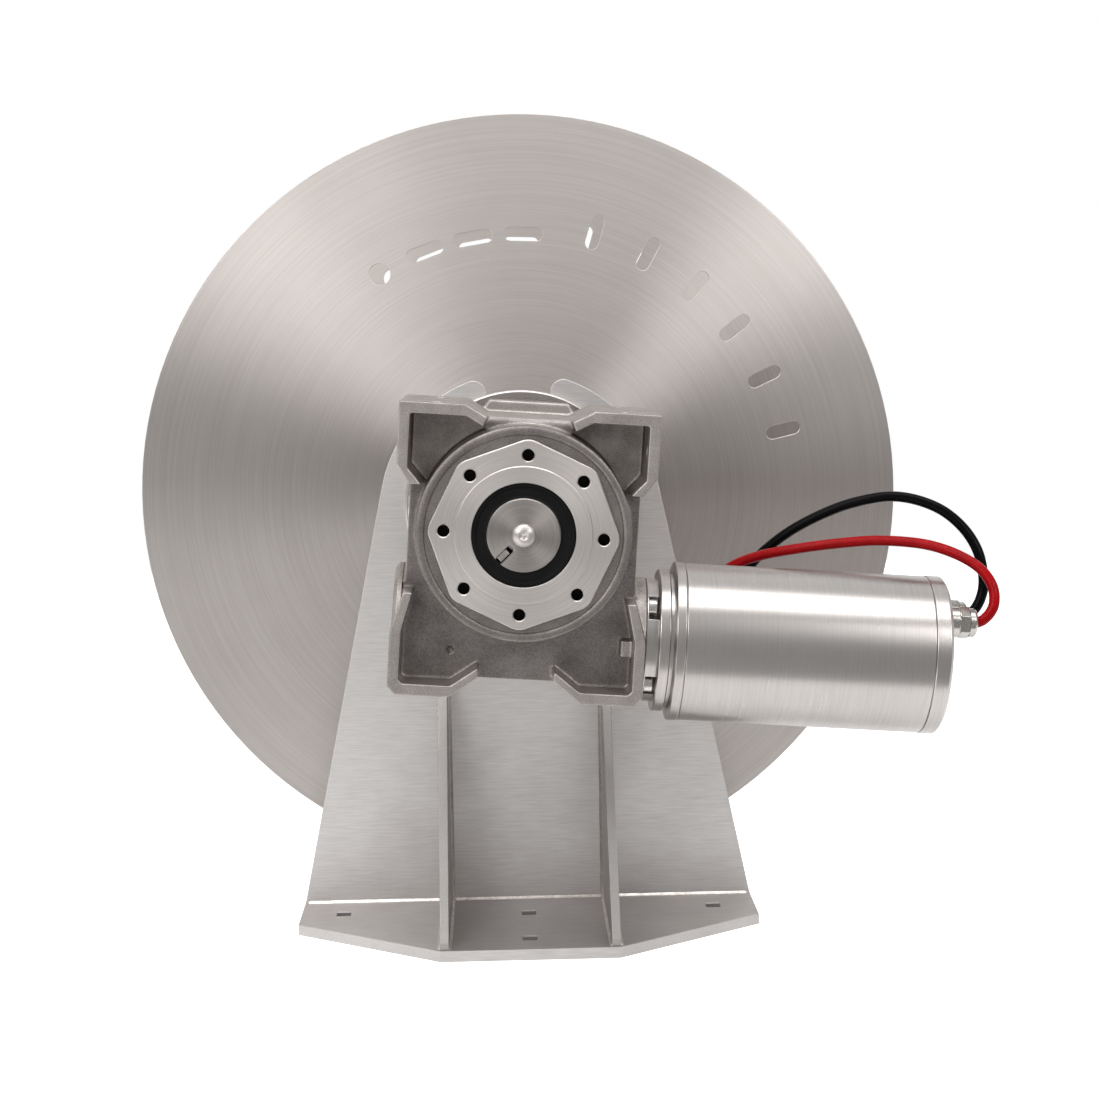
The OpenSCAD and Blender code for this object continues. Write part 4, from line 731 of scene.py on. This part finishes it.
# Each pedestal: the side plate on its foot in three runs, and both faces of both gussets on plate and foot
joints = {"plateHalf": 0.2115, "gussetIn": 0.072, "gussetOut": 0.080, "gussetTop": 0.228,
          "footFront": 0.374}
upward = (0, 0, 1)
foot = place["footTop"]
for side, s in (("near", -1), ("far", 1)):
    face = s * place["plateOut"]
    outward = (0, s, 0)
    runs = ((-joints["plateHalf"], -joints["gussetOut"]), (-joints["gussetIn"], joints["gussetIn"]),
            (joints["gussetOut"], joints["plateHalf"]))
    for k, (x0, x1) in enumerate(runs, 1):
        layWeld(f"{side}FootWeld{k}", "frame", (x0, face, foot), (x1, face, foot), outward, upward)
    gussetFaces = ((-joints["gussetOut"], -1), (-joints["gussetIn"], 1), (joints["gussetIn"], -1),
                   (joints["gussetOut"], 1))
    for k, (x, out) in enumerate(gussetFaces, 1):
        corner = (x, face, foot)
        top = (x, face, joints["gussetTop"])
        toe = (x, s * joints["footFront"], foot)
        layWeld(f"{side}GussetWeld{k}", "frame", corner, top, (out, 0, 0), outward)
        layWeld(f"{side}GussetFootWeld{k}", "frame", corner, toe, (out, 0, 0), upward)
print("welds laid")


def addStage(name, corners, faces, material):
    mesh = bpy.data.meshes.new(name)
    mesh.from_pydata(corners, [], faces)
    mesh.materials.append(material)
    obj = bpy.data.objects.new(name, mesh)
    scene.collection.objects.link(obj)


# White floor that keeps a soft shadow. The camera sees both of its glows, and a reflection only the second.
floor = {"side": 1.8, "front": -0.80, "back": 2.4, "paper": 0.8, "glow": 0.5, "sharedGlow": 0.3}
paper = bpy.data.materials.new("whitePaper")
paper.use_nodes = True
tree = paper.node_tree
tree.nodes.clear()
ray = addNode(tree, "ShaderNodeLightPath").outputs
seen = addNode(tree, "ShaderNodeMath", {0: ray["Is Camera Ray"], 1: ray["Is Glossy Ray"]},
               operation="MAXIMUM").outputs[0]
seen = addNode(tree, "ShaderNodeMath", {0: seen, 1: ray["Is Transmission Ray"]},
               operation="MAXIMUM").outputs[0]
shared = addNode(tree, "ShaderNodeMath", {0: seen, 1: floor["sharedGlow"]},
                 operation="MULTIPLY").outputs[0]
glow = addNode(tree, "ShaderNodeMath", {0: ray["Is Camera Ray"], 1: floor["glow"], 2: shared},
               operation="MULTIPLY_ADD").outputs[0]
ownLight = addNode(tree, "ShaderNodeEmission", {"Strength": glow}).outputs[0]
paperGrey = [floor["paper"]] * 3
matt = addNode(tree, "ShaderNodeBsdfDiffuse", Color=(*paperGrey, 1)).outputs[0]
both = addNode(tree, "ShaderNodeAddShader", {0: matt, 1: ownLight}).outputs[0]
addNode(tree, "ShaderNodeOutputMaterial", {"Surface": both})
corners = [(-floor["side"], floor["front"], 0), (floor["side"], floor["front"], 0),
           (floor["side"], floor["back"], 0), (-floor["side"], floor["back"], 0)]
addStage("floor", corners, [(0, 1, 2, 3)], paper)

# The deck in the shade of the foot plates, which their square holes show
shade = {"half": 0.012, "lift": 0.0005, "at": ((-0.173, 0.257), (0.173, 0.257), (0, 0.267), (0, 0.345)),
         "colour": "#1C1B1A", "roughness": 0.8}
shadow = bpy.data.materials.new("deckInShade")
shadow.use_nodes = True
shadowShader = shadow.node_tree.nodes["Principled BSDF"]
shadowShader.inputs["Base Color"].default_value = hexColour(shade["colour"])
shadowShader.inputs["Roughness"].default_value = shade["roughness"]
corners = [(x + a * shade["half"], s * y + b * shade["half"], shade["lift"])
           for s in (-1, 1) for x, y in shade["at"] for a, b in ((-1, -1), (1, -1), (1, 1), (-1, 1))]
addStage("deckShade", corners, [tuple(range(k, k + 4)) for k in range(0, len(corners), 4)], shadow)

# Soft boxes: one overhead, and one on each side of the camera, high up
softBoxes = {
    "topBox": {"at": (0.0, -0.9, 2.3), "to": (0, -0.1, 0.3), "size": (2.2, 1.1), "radiance": 4.4},
    "leftBox": {"at": (-1.6, -2.1, 1.75), "to": (0, 0, 0.45), "size": (2.0, 1.3), "radiance": 4.4},
    "rightBox": {"at": (1.6, -2.1, 1.65), "to": (0, 0, 0.45), "size": (1.0, 1.0), "radiance": 7.0},
}
for name, box in softBoxes.items():
    wide, high = box["size"]
    lamp = bpy.data.lights.new(name, "AREA")
    lamp.shape = "RECTANGLE"
    lamp.size = wide
    lamp.size_y = high
    lamp.energy = box["radiance"] * math.pi * wide * high
    obj = bpy.data.objects.new(name, lamp)
    scene.collection.objects.link(obj)
    obj.location = box["at"]
    obj.rotation_euler = (Vector(box["to"]) - Vector(box["at"])).to_track_quat("-Z", "Y").to_euler()

# The room: white where the camera sees it and behind the winch, grey round the camera, and a white card
# low on the left. Each pair says where along its axis a change starts and ends.
room = {"grey": 0.42, "white": 1.0, "card": 1.4, "behind": (-0.1, 0.5), "cardDown": (-0.06, -0.22),
        "cardLeft": (-0.1, -0.35)}
softly = {"interpolation_type": "SMOOTHSTEP"}
world = bpy.data.worlds.new("room")
world.use_nodes = True
scene.world = world
tree = world.node_tree
tree.nodes.clear()
generated = addNode(tree, "ShaderNodeTexCoord").outputs["Generated"]
direction = addNode(tree, "ShaderNodeSeparateXYZ", {0: generated}).outputs
start, end = room["behind"]
behind = addNode(tree, "ShaderNodeMapRange", {0: direction["Y"], 1: start, 2: end, 3: room["grey"],
                                              4: room["white"]}, **softly).outputs[0]
start, end = room["cardDown"]
cardDown = addNode(tree, "ShaderNodeMapRange", {0: direction["Z"], 1: start, 2: end, 4: room["card"]},
                   **softly).outputs[0]
start, end = room["cardLeft"]
cardLeft = addNode(tree, "ShaderNodeMapRange", {0: direction["X"], 1: start, 2: end}, **softly).outputs[0]
lit = addNode(tree, "ShaderNodeMath", {0: cardDown, 1: cardLeft, 2: behind},
              operation="MULTIPLY_ADD").outputs[0]
seen = addNode(tree, "ShaderNodeLightPath").outputs["Is Camera Ray"]
strength = addNode(tree, "ShaderNodeMix", {0: seen, 2: lit, 3: room["white"]}, data_type="FLOAT").outputs[0]
sky = addNode(tree, "ShaderNodeBackground", {"Strength": strength}, Color=(1, 1, 1, 1)).outputs[0]
addNode(tree, "ShaderNodeOutputWorld", {"Surface": sky})
print("stage lit")
